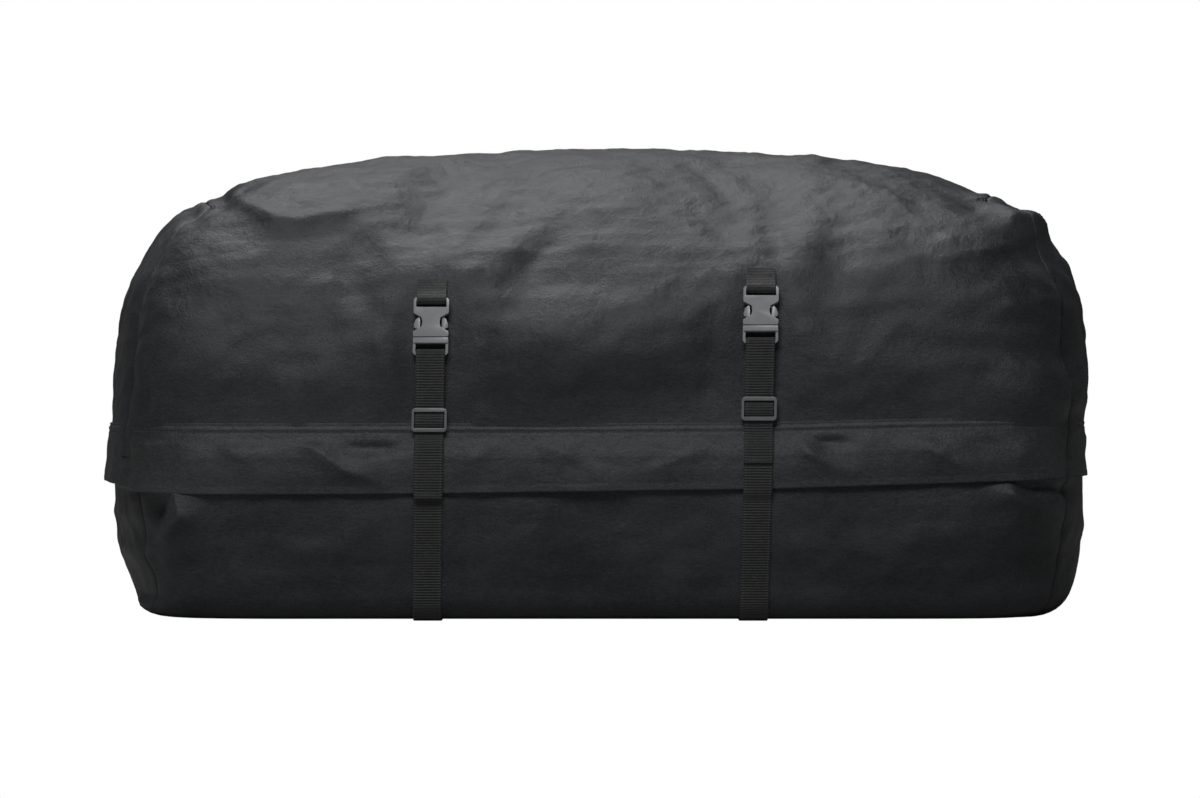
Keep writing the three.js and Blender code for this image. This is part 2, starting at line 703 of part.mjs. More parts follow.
// Distance of the main layer's middle from the wall
function mainLayer(z, slideZ, line) {
  const rest = support(z, line) + strapGap + strapThickness / 2;
  const d = Math.abs(z - slideZ);
  const flat = slideCentreBar / 2 + 0.4;
  const edge = slideLength / 2 - slideEndBar;
  if (d > slideLength / 2 + strapSettle) return rest;
  const level = slideLevel(slideZ, line);
  const low = level + strapGap + strapThickness / 2;
  if (d > edge) return low + (rest - low) * smooth((d - slideLength / 2) / strapSettle);
  const rise = 1 - Math.min(1, Math.max(0, (d - flat) / (edge - flat)));
  return low + (level + slideInner - low) * rise;
}

function buckleLevel(rise, line) {
  return buckleStandoff + support(buckleHeight + rise, line, 12);
}

function strapHalf(rise, tail, line) {
  const slideZ = slideHeight + rise;
  const points = [];
  const upTail = [tail];
  const clear = slideLength / 2 + strapSettle;
  for (let z = tail + pathStep; z < slideZ - clear; z += pathStep) upTail.push(z);
  const flat = slideCentreBar / 2 + 0.4;
  const edge = slideLength / 2 - slideEndBar;
  const end = slideLength / 2;
  const near = [-end - strapSettle / 2, -end, -edge, -flat, 0, flat, edge, end].map((d) => slideZ + d);
  upTail.concat(near).forEach((z) => points.push(offWall(z, mainLayer(z, slideZ, line) + layer)));
  const frame = wallFrame(buckleHeight + rise);
  const middle = buckleLevel(rise, line) + buckleThickness / 2;
  const bend = barThickness * 0.71 + strapGap + 0.15 + strapThickness / 2;
  for (let k = 0; k <= 8; k++) {
    const angle = (Math.PI * k) / 8;
    points.push(frame(-latchBarDrop + bend * Math.sin(angle), middle + bend * Math.cos(angle)));
  }
  near
    .slice()
    .reverse()
    .forEach((z) => points.push(offWall(z, mainLayer(z, slideZ, line))));
  for (let z = slideZ - clear; z > 2.5 * baseRadius; z -= pathStep) {
    points.push(offWall(z, mainLayer(z, slideZ, line)));
  }
  const foot = underside + baseRadius;
  [2 * baseRadius, 1.5 * baseRadius, foot + strapThickness].forEach((z) => {
    points.push(offWall(z, mainLayer(z, slideZ, line)));
  });
  const start = offWall(foot, mainLayer(foot, slideZ, line));
  const radius = foot - strapThickness / 2;
  for (let k = 1; k <= 6; k++) {
    const angle = (Math.PI / 2) * (k / 6);
    points.push(new THREE.Vector2(start.x + radius * (1 - Math.cos(angle)), foot - radius * Math.sin(angle)));
  }
  return points;
}

// A band of even thickness along a line, as a closed outline
function ribbonOutline(line, thickness) {
  const left = [];
  const right = [];
  line.forEach((p, i) => {
    const before = line[Math.max(0, i - 1)];
    const after = line[Math.min(line.length - 1, i + 1)];
    const a = p.clone().sub(before);
    const b = after.clone().sub(p);
    if (i === 0) a.copy(b);
    if (i === line.length - 1) b.copy(a);
    a.normalize();
    b.normalize();
    const mean = a.clone().add(b).normalize();
    const widen = 1 / Math.max(0.6, mean.dot(a));
    const normal = new THREE.Vector2(-mean.y, mean.x).multiplyScalar((thickness / 2) * widen);
    left.push(p.clone().add(normal));
    right.push(p.clone().sub(normal));
  });
  return left.concat(right.reverse());
}

// From a drawing in the plane of y and z to a solid of a given breadth along x
function acrossX(shape, breadth, x) {
  const geometry = new THREE.ExtrudeGeometry(shape, { depth: breadth, bevelEnabled: false, curveSegments: 6 });
  geometry.translate(0, 0, x - breadth / 2);
  const turn = new THREE.Matrix4();
  turn.makeBasis(new THREE.Vector3(0, 1, 0), new THREE.Vector3(0, 0, 1), new THREE.Vector3(1, 0, 0));
  return geometry.applyMatrix4(turn);
}

// The straps drift a little sideways as they rise
function leaned(geometry) {
  const position = geometry.attributes.position;
  for (let i = 0; i < position.count; i++) {
    position.setX(i, position.getX(i) + strapLean * (position.getZ(i) - leanPivot));
  }
  return geometry;
}

function strap({ side, x, frontRise, backRise, frontTail, backTail }) {
  const front = strapHalf(frontRise, frontTail, { x, front: true });
  const back = strapHalf(backRise, backTail, { x, front: false }).map((p) => new THREE.Vector2(-p.x, p.y));
  const line = front.concat(back.reverse());
  const outline = ribbonOutline(line, strapThickness);
  const geometry = acrossX(new THREE.Shape(outline), strapWidth, x);
  place("strap_" + side, leaned(facingOutExtrude(geometry)), "webbing");
}

function facingOutExtrude(geometry) {
  return toGeometry(toSolid(geometry));
}

// Hardware is drawn in a rigid frame: across (x), along the wall (s) and out of it (n)
function inFrame(geometry, height, x, backward) {
  const { y, tangent, out } = wallProfile(height);
  const matrix = new THREE.Matrix4();
  matrix.makeBasis(
    new THREE.Vector3(1, 0, 0),
    new THREE.Vector3(0, tangent.x, tangent.y),
    new THREE.Vector3(0, -out.x, -out.y),
  );
  matrix.setPosition(x, y, height);
  geometry.applyMatrix4(matrix);
  leaned(geometry);
  if (backward) geometry.applyMatrix4(new THREE.Matrix4().makeScale(1, -1, 1));
  return geometry;
}

// A plate drawn as x and s, standing from one distance out of the wall to another
function plate(shape, from, to) {
  const geometry = new THREE.ExtrudeGeometry(shape, { depth: to - from, bevelEnabled: false, curveSegments: 5 });
  return geometry.translate(0, 0, -to);
}

function polygon(points) {
  return new THREE.Shape(points.map(([x, s]) => new THREE.Vector2(x, s)));
}

function mirrored(points) {
  const other = points.map(([x, s]) => [-x, s]).reverse();
  return points.concat(other);
}

function rectangle(x0, x1, s0, s1) {
  return polygon([[x0, s0], [x1, s0], [x1, s1], [x0, s1]]);
}

// Tri-glide: end bars in front of both layers, a centre bar behind them, and rails at the sides
function strapSlide(level) {
  const half = slideLength / 2;
  const wide = hardwareWidth / 2;
  const inner = strapWidth / 2 + 0.5;
  const endFrom = level + strapGap + strapThickness * 2 + strapGap * 2;
  const endTo = endFrom + slideBarThickness;
  const rounded = mirrored([[wide - 3, -half], [wide - 0.8, -half + 0.9], [wide, -half + 3], [wide, half - 3],
    [wide - 0.8, half - 0.9], [wide - 3, half]]);
  const frame = toSolid(plate(polygon(rounded), level + strapGap, endTo));
  const through = toSolid(plate(rectangle(-inner, inner, -half + slideEndBar, half - slideEndBar), level - 5, endTo + 5));
  const under = toSolid(plate(rectangle(-inner, inner, -half - 5, half + 5), level - 5, endFrom));
  const centre = rectangle(-inner - 1, inner + 1, -slideCentreBar / 2, slideCentreBar / 2);
  const bar = toSolid(plate(centre, level + strapGap, level + strapGap + slideBarThickness));
  return toGeometry(frame.subtract(through).subtract(under).add(bar));
}

// Socket: hourglass plates with a mouth below, side windows at the waist, and a webbing slot above
function buckleSocket(level) {
  const wide = hardwareWidth / 2;
  const top = socketBarRise + barThickness / 2;
  const mouth = -8.6;
  const outline = mirrored([[wide - 1, mouth], [wide, mouth + 1], [wide, mouth + 4.5], [8.2, mouth + 9],
    [7.6, mouth + 13], [8.4, mouth + 17], [wide - 0.6, mouth + 20.5], [wide, mouth + 22], [wide, top - 2],
    [wide - 2, top]]);
  const body = toSolid(plate(polygon(outline), level, level + buckleThickness));
  const cavity = rectangle(-12.6, 12.6, mouth - 5, mouth + 20);
  const hollow = toSolid(plate(cavity, level + bucklePlate, level + buckleThickness - bucklePlate));
  const slotTop = socketBarRise - barThickness / 2;
  const slot = rectangle(-strapWidth / 2 - 0.6, strapWidth / 2 + 0.6, slotTop - 5.4, slotTop);
  const slotCut = toSolid(plate(slot, level - 5, level + buckleThickness + 5));
  const middle = level + buckleThickness / 2;
  const barRoom = rectangle(-strapWidth / 2 - 0.6, strapWidth / 2 + 0.6, slotTop - 1, top + 5);
  const barFront = toSolid(plate(barRoom, middle + barThickness / 2, level + buckleThickness + 5));
  const barBack = toSolid(plate(barRoom, level - 5, middle - barThickness / 2));
  return toGeometry(body.subtract(hollow).subtract(slotCut).subtract(barFront).subtract(barBack));
}

// Latch: two sprung arms whose heads show in the windows, a centre tongue, and a bar for the webbing
function buckleLatch(level) {
  const wide = hardwareWidth / 2;
  const middle = level + buckleThickness / 2;
  const from = middle - latchThickness / 2;
  const to = middle + latchThickness / 2;
  const shoulder = -9;
  const bottom = -latchBarDrop - barThickness / 2;
  const half = [[wide - 2, bottom], [wide, bottom + 2], [wide, shoulder], [12.2, shoulder], [12.2, -1.4],
    [14.6, -0.4], [15, 2], [13.6, 6.4], [11, 9], [9.6, 8.4], [9.4, shoulder + 2.5], [3, shoulder + 2.5], [2.6, 7.5]];
  const outline = polygon(mirrored(half));
  const windowShape = rectangle(-strapWidth / 2 - 0.5, strapWidth / 2 + 0.5, bottom + barThickness, shoulder - 5.4);
  const flat = toSolid(plate(outline, from, to));
  const windowCut = toSolid(plate(windowShape, from - 5, to + 5));
  const barRoom = rectangle(-strapWidth / 2 - 0.5, strapWidth / 2 + 0.5, bottom - 5, bottom + barThickness + 1);
  const front = toSolid(plate(barRoom, middle + barThickness / 2, to + 5));
  const back = toSolid(plate(barRoom, from - 5, middle - barThickness / 2));
  const grip = toSolid(plate(rectangle(-wide + 0.4, wide - 0.4, shoulder - 5, shoulder - 0.2), from - 1.4, to + 1.4));
  return toGeometry(flat.add(grip).subtract(windowCut).subtract(front).subtract(back));
}

// Sewn tab: webbing folded round the socket's bar and sewn to the lid above it
function buckleTab(rise, line) {
  const height = buckleHeight + rise;
  const frame = wallFrame(height);
  const middle = buckleLevel(rise, line) + buckleThickness / 2;
  const inner = barThickness * 0.71 + strapGap + 0.15;
  const outer = inner + strapThickness;
  const barZ = frame(socketBarRise, middle).y;
  const sewnFrom = barZ + 8;
  const top = barZ - 3 + tabLength;
  const lift = support(top - 6, line, 7) + strapGap;
  const loop = (radius) => {
    const points = [];
    for (let k = 0; k <= 10; k++) {
      const angle = THREE.MathUtils.degToRad(-45 + 24.5 * k);
      points.push(frame(socketBarRise - radius * Math.sin(angle), middle + radius * Math.cos(angle)));
    }
    return points;
  };
  const outline = loop(outer);
  outline.push(offWall(sewnFrom - 1, lift));
  outline.push(offWall(top, lift));
  outline.push(offWall(top, lift + 2 * strapThickness));
  outline.push(offWall(sewnFrom + 2, lift + 2 * strapThickness));
  const hole = loop(inner);
  hole.push(offWall(sewnFrom - 1, lift + strapThickness));
  const shape = new THREE.Shape(outline);
  shape.holes.push(new THREE.Path(hole));
  return leaned(facingOutExtrude(acrossX(shape, strapWidth, line.x)));
}

function strapHardware({ side, x, frontRise, backRise }) {
  for (const [end, rise] of [["front", frontRise], ["back", backRise]]) {
    const back = end === "back";
    const name = "_" + end + "_" + side;
    const buckleZ = buckleHeight + rise;
    const line = { x, front: !back };
    const level = buckleLevel(rise, line);
    const slideZ = slideHeight + rise;
    const tab = buckleTab(rise, line);
    if (back) tab.applyMatrix4(new THREE.Matrix4().makeScale(1, -1, 1));
    place("buckle_tab" + name, back ? facingOut(tab) : tab, "webbing");
    const pieces = [
      ["buckle_socket", buckleSocket(level), buckleZ],
      ["buckle_latch", buckleLatch(level), buckleZ],
      ["strap_slide", strapSlide(slideLevel(slideZ, line)), slideZ],
    ];
    for (const [kind, geometry, height] of pieces) {
      place(kind + name, facingOut(inFrame(geometry, height, x, back)), "moulded_plastic");
    }
  }
}

lidMainPanel();
lidSidePanel("left", -1);
lidSidePanel("right", 1);
tub();
flaps();
stringer("zipper_stringer_upper", 1);
stringer("zipper_stringer_lower", -1);
sliders();
zipStops();
straps.forEach(strap);
straps.forEach(strapHardware);

export default group;
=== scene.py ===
import math
import bmesh
import bpy
import numpy as np
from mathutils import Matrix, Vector, kdtree


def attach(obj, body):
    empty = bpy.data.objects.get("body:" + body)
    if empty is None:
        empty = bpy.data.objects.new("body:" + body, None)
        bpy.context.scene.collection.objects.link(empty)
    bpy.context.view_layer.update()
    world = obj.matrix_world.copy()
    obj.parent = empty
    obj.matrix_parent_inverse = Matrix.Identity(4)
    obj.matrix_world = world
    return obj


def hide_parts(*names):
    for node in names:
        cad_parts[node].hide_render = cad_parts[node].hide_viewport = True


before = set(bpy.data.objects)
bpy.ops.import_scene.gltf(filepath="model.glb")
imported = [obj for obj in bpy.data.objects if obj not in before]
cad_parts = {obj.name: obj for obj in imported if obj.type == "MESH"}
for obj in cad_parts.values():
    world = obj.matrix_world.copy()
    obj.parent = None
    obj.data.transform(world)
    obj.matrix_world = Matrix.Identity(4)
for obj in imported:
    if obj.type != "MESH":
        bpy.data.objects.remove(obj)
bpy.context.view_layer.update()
MM = 0.001

# Sizes of the bag in millimetres, the same as the solids have
HALF_W, HALF_D = 450.0, 482.0
FOOT, RISE = 203.0, 229.0
FRONT_FLAT, SIDE_FLAT, DOME = 12.0, 5.0, 3.0
CORNER = 1.047
UNDER = 1.7
BASE_R = 24.0
TAPER = 0.04
ZIP = 140.0
HEM = 146.0
TUB_TOP = 134.0
FLAP_TOP, FLAP_LOW = 175.0, 114.5
STRAIGHT = FOOT - UNDER - BASE_R


def smooth(t):
    c = np.clip(t, 0.0, 1.0)
    return c * c * (3 - 2 * c)


# How far out in plan a point is, in units of the half sizes, with 1 on the outline
def plan_reach(x, y):
    ax, ay = np.abs(x), np.abs(y)
    low = np.maximum(ax, ay) + 1e-12
    high = low * 1.5 + 1e-9
    for _ in range(40):
        mid = (low + high) / 2
        big = (ax / mid) ** FRONT_FLAT + (ay / mid) ** SIDE_FLAT > 1
        low = np.where(big, mid, low)
        high = np.where(big, high, mid)
    return high


def wall_share(z):
    z = np.asarray(z, float)
    up = np.cbrt(np.maximum(0.0, 1 - (np.maximum(z - FOOT, 0) / RISE) ** DOME))
    down = 1 - TAPER * smooth((112 - z) / 95)
    return np.where(z >= FOOT, up, down)


def plan_normal(p):
    sx, sy = p[..., 0] / HALF_W, p[..., 1] / HALF_D
    r = np.maximum(plan_reach(sx, sy), 1e-9)
    nx = np.sign(sx) * FRONT_FLAT * np.abs(sx / r) ** (FRONT_FLAT - 1) / HALF_W
    ny = np.sign(sy) * SIDE_FLAT * np.abs(sy / r) ** (SIDE_FLAT - 1) / HALF_D
    n = np.stack([nx, ny, np.zeros_like(nx)], -1)
    return n / np.maximum(np.linalg.norm(n, axis=-1, keepdims=True), 1e-12)


def dome_point(dx, dy, rise):
    dx, dy, rise = np.broadcast_arrays(np.asarray(dx, float), np.asarray(dy, float), np.asarray(rise, float))
    size = (plan_reach(dx, dy) ** DOME + rise ** DOME) ** (-1 / DOME)
    return np.stack([dx * size * HALF_W, dy * size * HALF_D, FOOT + rise * size * RISE], -1)


def wall_point(dx, dy, drop):
    dx, dy, drop = np.broadcast_arrays(np.asarray(dx, float), np.asarray(dy, float), np.asarray(drop, float))
    r = plan_reach(dx, dy)
    turn = np.maximum(0, drop - STRAIGHT) / BASE_R
    z = np.where(drop <= STRAIGHT, FOOT - drop, UNDER + BASE_R * (1 - np.sin(turn)))
    share = wall_share(np.maximum(z, UNDER + BASE_R * 0.3))
    p = np.stack([dx / r * HALF_W * share, dy / r * HALF_D * share, z], -1)
    return p - plan_normal(p) * (BASE_R * (1 - np.cos(turn)))[..., None]


def outward(p):
    sx, sy = p[..., 0] / HALF_W, p[..., 1] / HALF_D
    r = np.maximum(plan_reach(sx, sy), 1e-9)
    ex, ey = np.abs(sx / r), np.abs(sy / r)
    lower = np.maximum(FRONT_FLAT * ex ** FRONT_FLAT + SIDE_FLAT * ey ** SIDE_FLAT, 1e-12)
    gx = np.sign(sx) * FRONT_FLAT * ex ** (FRONT_FLAT - 1) / lower / HALF_W
    gy = np.sign(sy) * SIDE_FLAT * ey ** (SIDE_FLAT - 1) / lower / HALF_D
    h = np.maximum((p[..., 2] - FOOT) / RISE, 0)
    dome = np.stack([gx * r ** 2, gy * r ** 2, h ** 2 / RISE], -1)
    dome /= np.maximum(np.linalg.norm(dome, axis=-1, keepdims=True), 1e-12)
    wall = plan_normal(p)
    turn = np.arcsin(np.clip((UNDER + BASE_R - p[..., 2]) / BASE_R, 0, 1))
    wall = wall * np.cos(turn)[..., None]
    wall[..., 2] -= np.sin(turn)
    return np.where((p[..., 2] > FOOT)[..., None], dome, wall)


# Folds in the solids: both ends as shares of the half width and the height, how far out, half breadth
FOLD_HEIGHT, FOLD_BREADTH = 7.0, 9.0
SEAM_SPAN, SEAM_REACH = 330.0, 15.0
SWELL_LENGTH, SWELL_HEIGHT = 91.0, 1.6
FRONT_FOLDS = [
    (-0.751, 0.896, -0.667, 0.829, 1, 1), (-0.667, 0.829, -0.48, 0.861, 0.57, 1.11),
    (-0.782, 0.859, -0.756, 0.847, -1.14, 1.44), (-0.653, 0.907, -0.333, 0.954, 0.36, 1.78),
    (-0.647, 0.556, -0.6, 0.454, 0.43, 1.44), (0.8, 0.856, 0.829, 0.812, 1, 0.89),
    (0.829, 0.812, 0.893, 0.815, 0.86, 0.89), (0.893, 0.778, 0.933, 0.745, -1, 1.33),
    (0.487, 0.894, 0.624, 0.831, 0.43, 1), (0.567, 0.799, 0.616, 0.75, 0.43, 1),
    (0.678, 0.792, 0.724, 0.745, 0.43, 1), (0.782, 0.634, 0.876, 0.637, 0.36, 0.89),
    (-0.844, 0.238, -0.818, 0.204, 0.86, 1), (-0.818, 0.204, -0.867, 0.157, 0.86, 1),
    (-0.88, 0.236, -0.869, 0.213, -0.86, 1), (0.802, 0.241, 0.84, 0.213, 0.71, 1),
    (0.84, 0.213, 0.893, 0.208, 0.57, 1), (0.862, 0.245, 0.889, 0.243, -0.71, 0.89),
]
BACK_FOLDS = [
    (-0.767, 0.889, -0.627, 0.824, 0.71, 1.22), (0.751, 0.898, 0.64, 0.833, 0.71, 1.22),
    (-0.871, 0.241, -0.827, 0.181, 0.57, 1), (0.867, 0.255, 0.827, 0.194, 0.57, 1),
]


# The distance from a line between two points, and the share of the way along it
def segment_distance(x, z, x0, z0, x1, z1):
    dx, dz = x1 - x0, z1 - z0
    t = np.clip(((x - x0) * dx + (z - z0) * dz) / (dx * dx + dz * dz), 0, 1)
    return np.hypot(x - x0 - t * dx, z - z0 - t * dz), t


# 1 on the front wall where sign is -1, or on the back wall where it is 1, and 0 on the other faces
def on_wall(p, sign):
    return smooth((sign * p[..., 1] / HALF_D - 0.52) / 0.17)


# How high a point is on the lid's dome, from 0 at its foot to 1 at the top
def up_dome(p):
    return (p[..., 2] - FOOT) / RISE


# 0 within near of the zip, rising to 1 over the next span
def off_zip(p, near, span):
    return smooth((np.abs(p[..., 2] - ZIP) - near) / span)


# A bell round a middle, in one direction
def bell(value, middle, reach):
    return np.exp(-(((value - middle) / reach) ** 2))


def fold_relief(p):
    total = np.zeros(p.shape[:-1])
    for folds, weight in ((FRONT_FOLDS, on_wall(p, -1)), (BACK_FOLDS, on_wall(p, 1))):
        for x0, z0, x1, z1, out, breadth in folds:
            ends = (x0 * HALF_W, z0 * (FOOT + RISE), x1 * HALF_W, z1 * (FOOT + RISE))
            d = segment_distance(p[..., 0], p[..., 2], *ends)[0] / (breadth * FOLD_BREADTH)
            total += weight * out * FOLD_HEIGHT * np.exp(-d * d)
    return total


# Millimetres from the corner and top seams, and whether the nearer one is a corner seam
def seam_distance(p):
    across = np.abs(p[..., 0] / HALF_W) / CORNER
    deep = np.abs(p[..., 1] / HALF_D)
    high = up_dome(p)
    return np.abs(across - np.maximum(deep, high)) * SEAM_SPAN, deep > high


def seam_relief(p):
    d = seam_distance(p)[0] / SEAM_REACH
    pull = 1.6 + 3.4 * smooth((np.abs(p[..., 1] / HALF_D) - up_dome(p) - 0.3) / 0.5)
    return -pull * smooth((p[..., 2] - UNDER) / 30) * np.exp(-d * d)


def swell(p):
    x, y, z = p[..., 0] / SWELL_LENGTH, p[..., 1] / SWELL_LENGTH, p[..., 2] / SWELL_LENGTH
    fade = smooth((p[..., 2] - 20) / 40) * off_zip(p, 22, 60)
    return fade * SWELL_HEIGHT * np.sin(x + 0.7) * np.sin(y / 1.26 - 0.4) * np.cos(z * 1.55)


# The load: a crown in the middle of the lid, and more fill on the right than on the left
def fill(p):
    crown = 9 * smooth(up_dome(p) - 0.2) * bell(p[..., 0], 8, 110)
    return smooth(up_dome(p) / 0.6) * (crown + 4 * (p[..., 0] / HALF_W) ** 3)


def relief(p):
    return fold_relief(p) + seam_relief(p) + swell(p) + fill(p)


# Smooth noise: a sum of plane waves in fixed directions
def waves(p, size, seed, count=22):
    rng = np.random.default_rng(seed)
    total = np.zeros(p.shape[:-1])
    for _ in range(count):
        k = rng.normal(size=3)
        k /= np.linalg.norm(k)
        length = size * rng.uniform(0.7, 1.5)
        total += np.sin(p @ (k * 2 * math.pi / length) + rng.uniform(0, 2 * math.pi))
    return total / math.sqrt(count / 2)


STRAPS = [
    dict(side="left", x=-146.5, front_rise=0, back_rise=4, front_tail=110, back_tail=114),
    dict(side="right", x=142.5, front_rise=10, back_rise=4, front_tail=141, back_tail=114),
]
LEAN, PIVOT = 0.0185, 190.0


# 1 away from the straps, 0 under them, on the front and back walls
def off_straps(p, near=18, far=45):
    free = np.ones(p.shape[:-1])
    for s in STRAPS:
        x = s["x"] + LEAN * (p[..., 2] - PIVOT)
        wall = smooth((np.abs(p[..., 1]) - 360) / 40) * (1 - smooth((p[..., 2] - 300) / 26))
        free *= 1 - wall * (1 - smooth((np.abs(p[..., 0] - x) - near) / (far - near)))
    return free


# Creases: points along each one with its height there, and its breadth to the left and right of the way
# it runs. Places are millimetres in the face it lies in: x and z on the front and back, y and z on the
# sides, x and y on the top.
FRONT_CREASES = [
    ([(-352, 396, 3), (-311, 369, 10), (-287, 357, 12), (-264, 357, 10), (-216, 368, 7), (-177, 378, 4),
      (-132, 387, 0)], 30, 6),
    ([(-330, 398, 0), (-300, 391, 3), (-226, 393, 3), (-150, 404, 0)], 9, 7),
    ([(-285, 377, 0), (-255, 376, 2.5), (-216, 382, 0)], 6, 5),
    ([(-292, 252, 0), (-280, 215, 2.5), (-262, 180, 1)], 9, 18),
    ([(-390, 205, 0), (-394, 185, 3), (-400, 158, 0)], 6, 8),
    ([(-412, 262, 0), (-396, 222, 2.5), (-368, 178, 0)], 12, 18),
    ([(345, 376, 3), (360, 364, 9), (368, 351, 12), (388, 348, 12), (404, 342, 5)], 12, 6),
    ([(398, 344, 3), (367, 329, 6), (337, 321, 6), (301, 315, 5), (274, 322, 3), (245, 336, 0)], 6, 32),
    ([(238, 360, 0), (256, 341, 3.5), (276, 323, 0)], 7, 6),
    ([(165, 349, 0), (186, 330, 3), (204, 313, 0)], 7, 6),
    ([(300, 340, 0), (313, 330, 3), (327, 318, 0)], 7, 6),
    ([(236, 392, 1), (270, 376, 3.5), (290, 358, 0)], 8, 7),
    ([(205, 397, 0), (232, 392, 2.5), (259, 386, 0)], 6, 6),
    ([(346, 272, 0), (362, 276, 3.5), (385, 277, 3.5), (410, 271, 0)], 9, 4.5),
    ([(282, 280, 0), (243, 237, 2.2), (205, 195, 0)], 12, 16),
    ([(240, 292, 0), (206, 254, -1.8), (172, 215, 0)], 14, 14),
    ([(345, 233, 0), (385, 219, 3), (424, 205, 2)], 10, 26),
    ([(-380, 124, 3), (-367, 94, 12), (-379, 82, 9), (-402, 72, 2)], 10, 5),
    ([(361, 128, 6), (365, 114, 10), (373, 107, 10), (388, 104, 7), (416, 108, 2)], 5, 10),
    ([(412, 80, 0), (392, 67, 2.4), (364, 50, 0)], 8, 9),
    ([(420, 74, 0), (408, 44, 2.2), (394, 16, 0)], 8, 9),
    ([(-330, 40, 0), (-290, 33, 1.6), (-230, 36, 0)], 12, 10),
    ([(70, 40, 0), (130, 34, -1.5), (220, 40, 0)], 12, 12),
]
# Dents and bulges: place, height, and reach both ways
FRONT_DENTS = [
    (-344, 384, -6, 13, 9), (-364, 362, -4, 12, 9), (-352, 340, -2, 20, 16), (340, 367, -5, 18, 8),
    (372, 322, -5, 24, 12), (341, 304, -3, 24, 12), (380, 262, -3, 26, 7), (394, 238, -6, 32, 24),
    (392, 204, 9, 40, 22), (-398, 102, -12, 12, 14), (-336, 104, -2.5, 26, 12), (392, 122, -9, 20, 7),
    (354, 97, -3, 15, 9), (418, 117, -6, 8, 12), (-356, 8, -3, 10, 5), (-12, 240, 12, 108, 44),
    (-12, 308, -8.5, 150, 38), (-25, 368, -7, 210, 38), (-250, 330, -3, 70, 40), (-240, 268, -5, 95, 38),
    (350, 350, 5, 80, 30), (325, 298, 7, 80, 36), (300, 230, -2, 60, 40),
]
FLAP_CREASES = [
    ([(-282, 172, 0), (-243, 151, 3.4), (-221, 135, 3.6), (-178, 119, 1)], 11, 8),
    ([(-340, 166, 0), (-318, 150, 2), (-292, 131, 0)], 9, 9),
    ([(-130, 130, 0), (-105, 147, 1.8), (-82, 164, 0)], 8, 9),
    ([(-60, 160, 0), (-28, 150, 2), (10, 130, 0)], 8, 9),
    ([(40, 131, 0), (75, 146, 1.8), (112, 160, 0)], 9, 8),
    ([(168, 174, 0), (186, 150, 3.2), (216, 134, 1.5), (240, 128, 0)], 10, 7),
    ([(270, 171, 0), (302, 148, 2.6), (330, 135, 0)], 9, 8),
    ([(360, 164, 0), (374, 149, 2.2), (386, 136, 0)], 7, 7),
    ([(-392, 172, 0), (-396, 160, 2), (-399, 146, 0)], 6, 7),
]
FLAP_DENTS = [(-196, 153, -2.6, 28, 8), (205, 160, -1.6, 18, 7), (30, 148, -1.4, 30, 9),
              (-300, 152, 1.4, 26, 9), (340, 155, -1.4, 20, 9)]
TUB_SEAM_SHIFT = 12.0
RIDGE = 2.0


# Loose creases for the faces the photo doesn't show, most of them running in from the seams
def scattered(seed, count, low, high, across, height):
    rng = np.random.default_rng(seed)
    made = []
    for _ in range(count):
        side = rng.choice([-1, 1])
        a = side * across * rng.uniform(0.55, 1.0)
        b = rng.uniform(low, high)
        run, drop = -side * rng.uniform(25, 75), rng.uniform(-45, 25)
        h = rng.uniform(0.5, 1) * height
        points = [(a, b, 0), (a + run * 0.5, b + drop * 0.35, h), (a + run, b + drop, 0)]
        made.append((points, rng.uniform(7, 14), rng.uniform(7, 14)))
    return made


BACK_CREASES = scattered(21, 16, 175, 390, 400, 4.0) + scattered(22, 8, 40, 110, 400, 3.5)
SIDE_CREASES = {-1: scattered(31, 14, 175, 360, 400, 4.0) + scattered(32, 8, 40, 110, 400, 3.5),
                1: scattered(41, 14, 175, 360, 400, 4.0) + scattered(42, 8, 40, 110, 400, 3.5)}
TOP_CREASES = scattered(51, 18, -330, 330, 340, 3.5)


# The height of all creases and dents at places in one face; a crease's ridge is rounded over RIDGE
def crease_sum(a, b, creases, dents=()):
    total = np.zeros(a.shape)
    for points, left, right in creases:
        best = np.full(a.shape, 1e9)
        value = np.zeros(a.shape)
        for (x0, z0, h0), (x1, z1, h1) in zip(points, points[1:]):
            d, t = segment_distance(a, b, x0, z0, x1, z1)
            side = np.where((x1 - x0) * (b - z0) - (z1 - z0) * (a - x0) > 0, left, right)
            nearer = d < best
            best = np.where(nearer, d, best)
            slope = np.exp(-(np.sqrt(d * d + RIDGE * RIDGE) - RIDGE) / side)
            value = np.where(nearer, (h0 + (h1 - h0) * t) * slope, value)
        total += value
    for x, z, depth, rx, rz in dents:
        total += depth * bell(a, x, rx) * bell(b, z, rz)
    return total


def creases(p):
    x, y, z = p[..., 0], p[..., 1], p[..., 2]
    front, back = on_wall(p, -1), on_wall(p, 1)
    top = smooth((up_dome(p) - 0.6) / 0.25) * (1 - front) * (1 - back)
    total = front * crease_sum(x, z, FRONT_CREASES, FRONT_DENTS) + back * crease_sum(x, z, BACK_CREASES)
    total += top * crease_sum(x, y, TOP_CREASES)
    for sign, lines in SIDE_CREASES.items():
        side = smooth((sign * x / HALF_W - 0.6) / 0.2) * (1 - front) * (1 - back)
        total += side * crease_sum(y, z, lines)
    return total * off_straps(p) * off_zip(p, 13, 12)


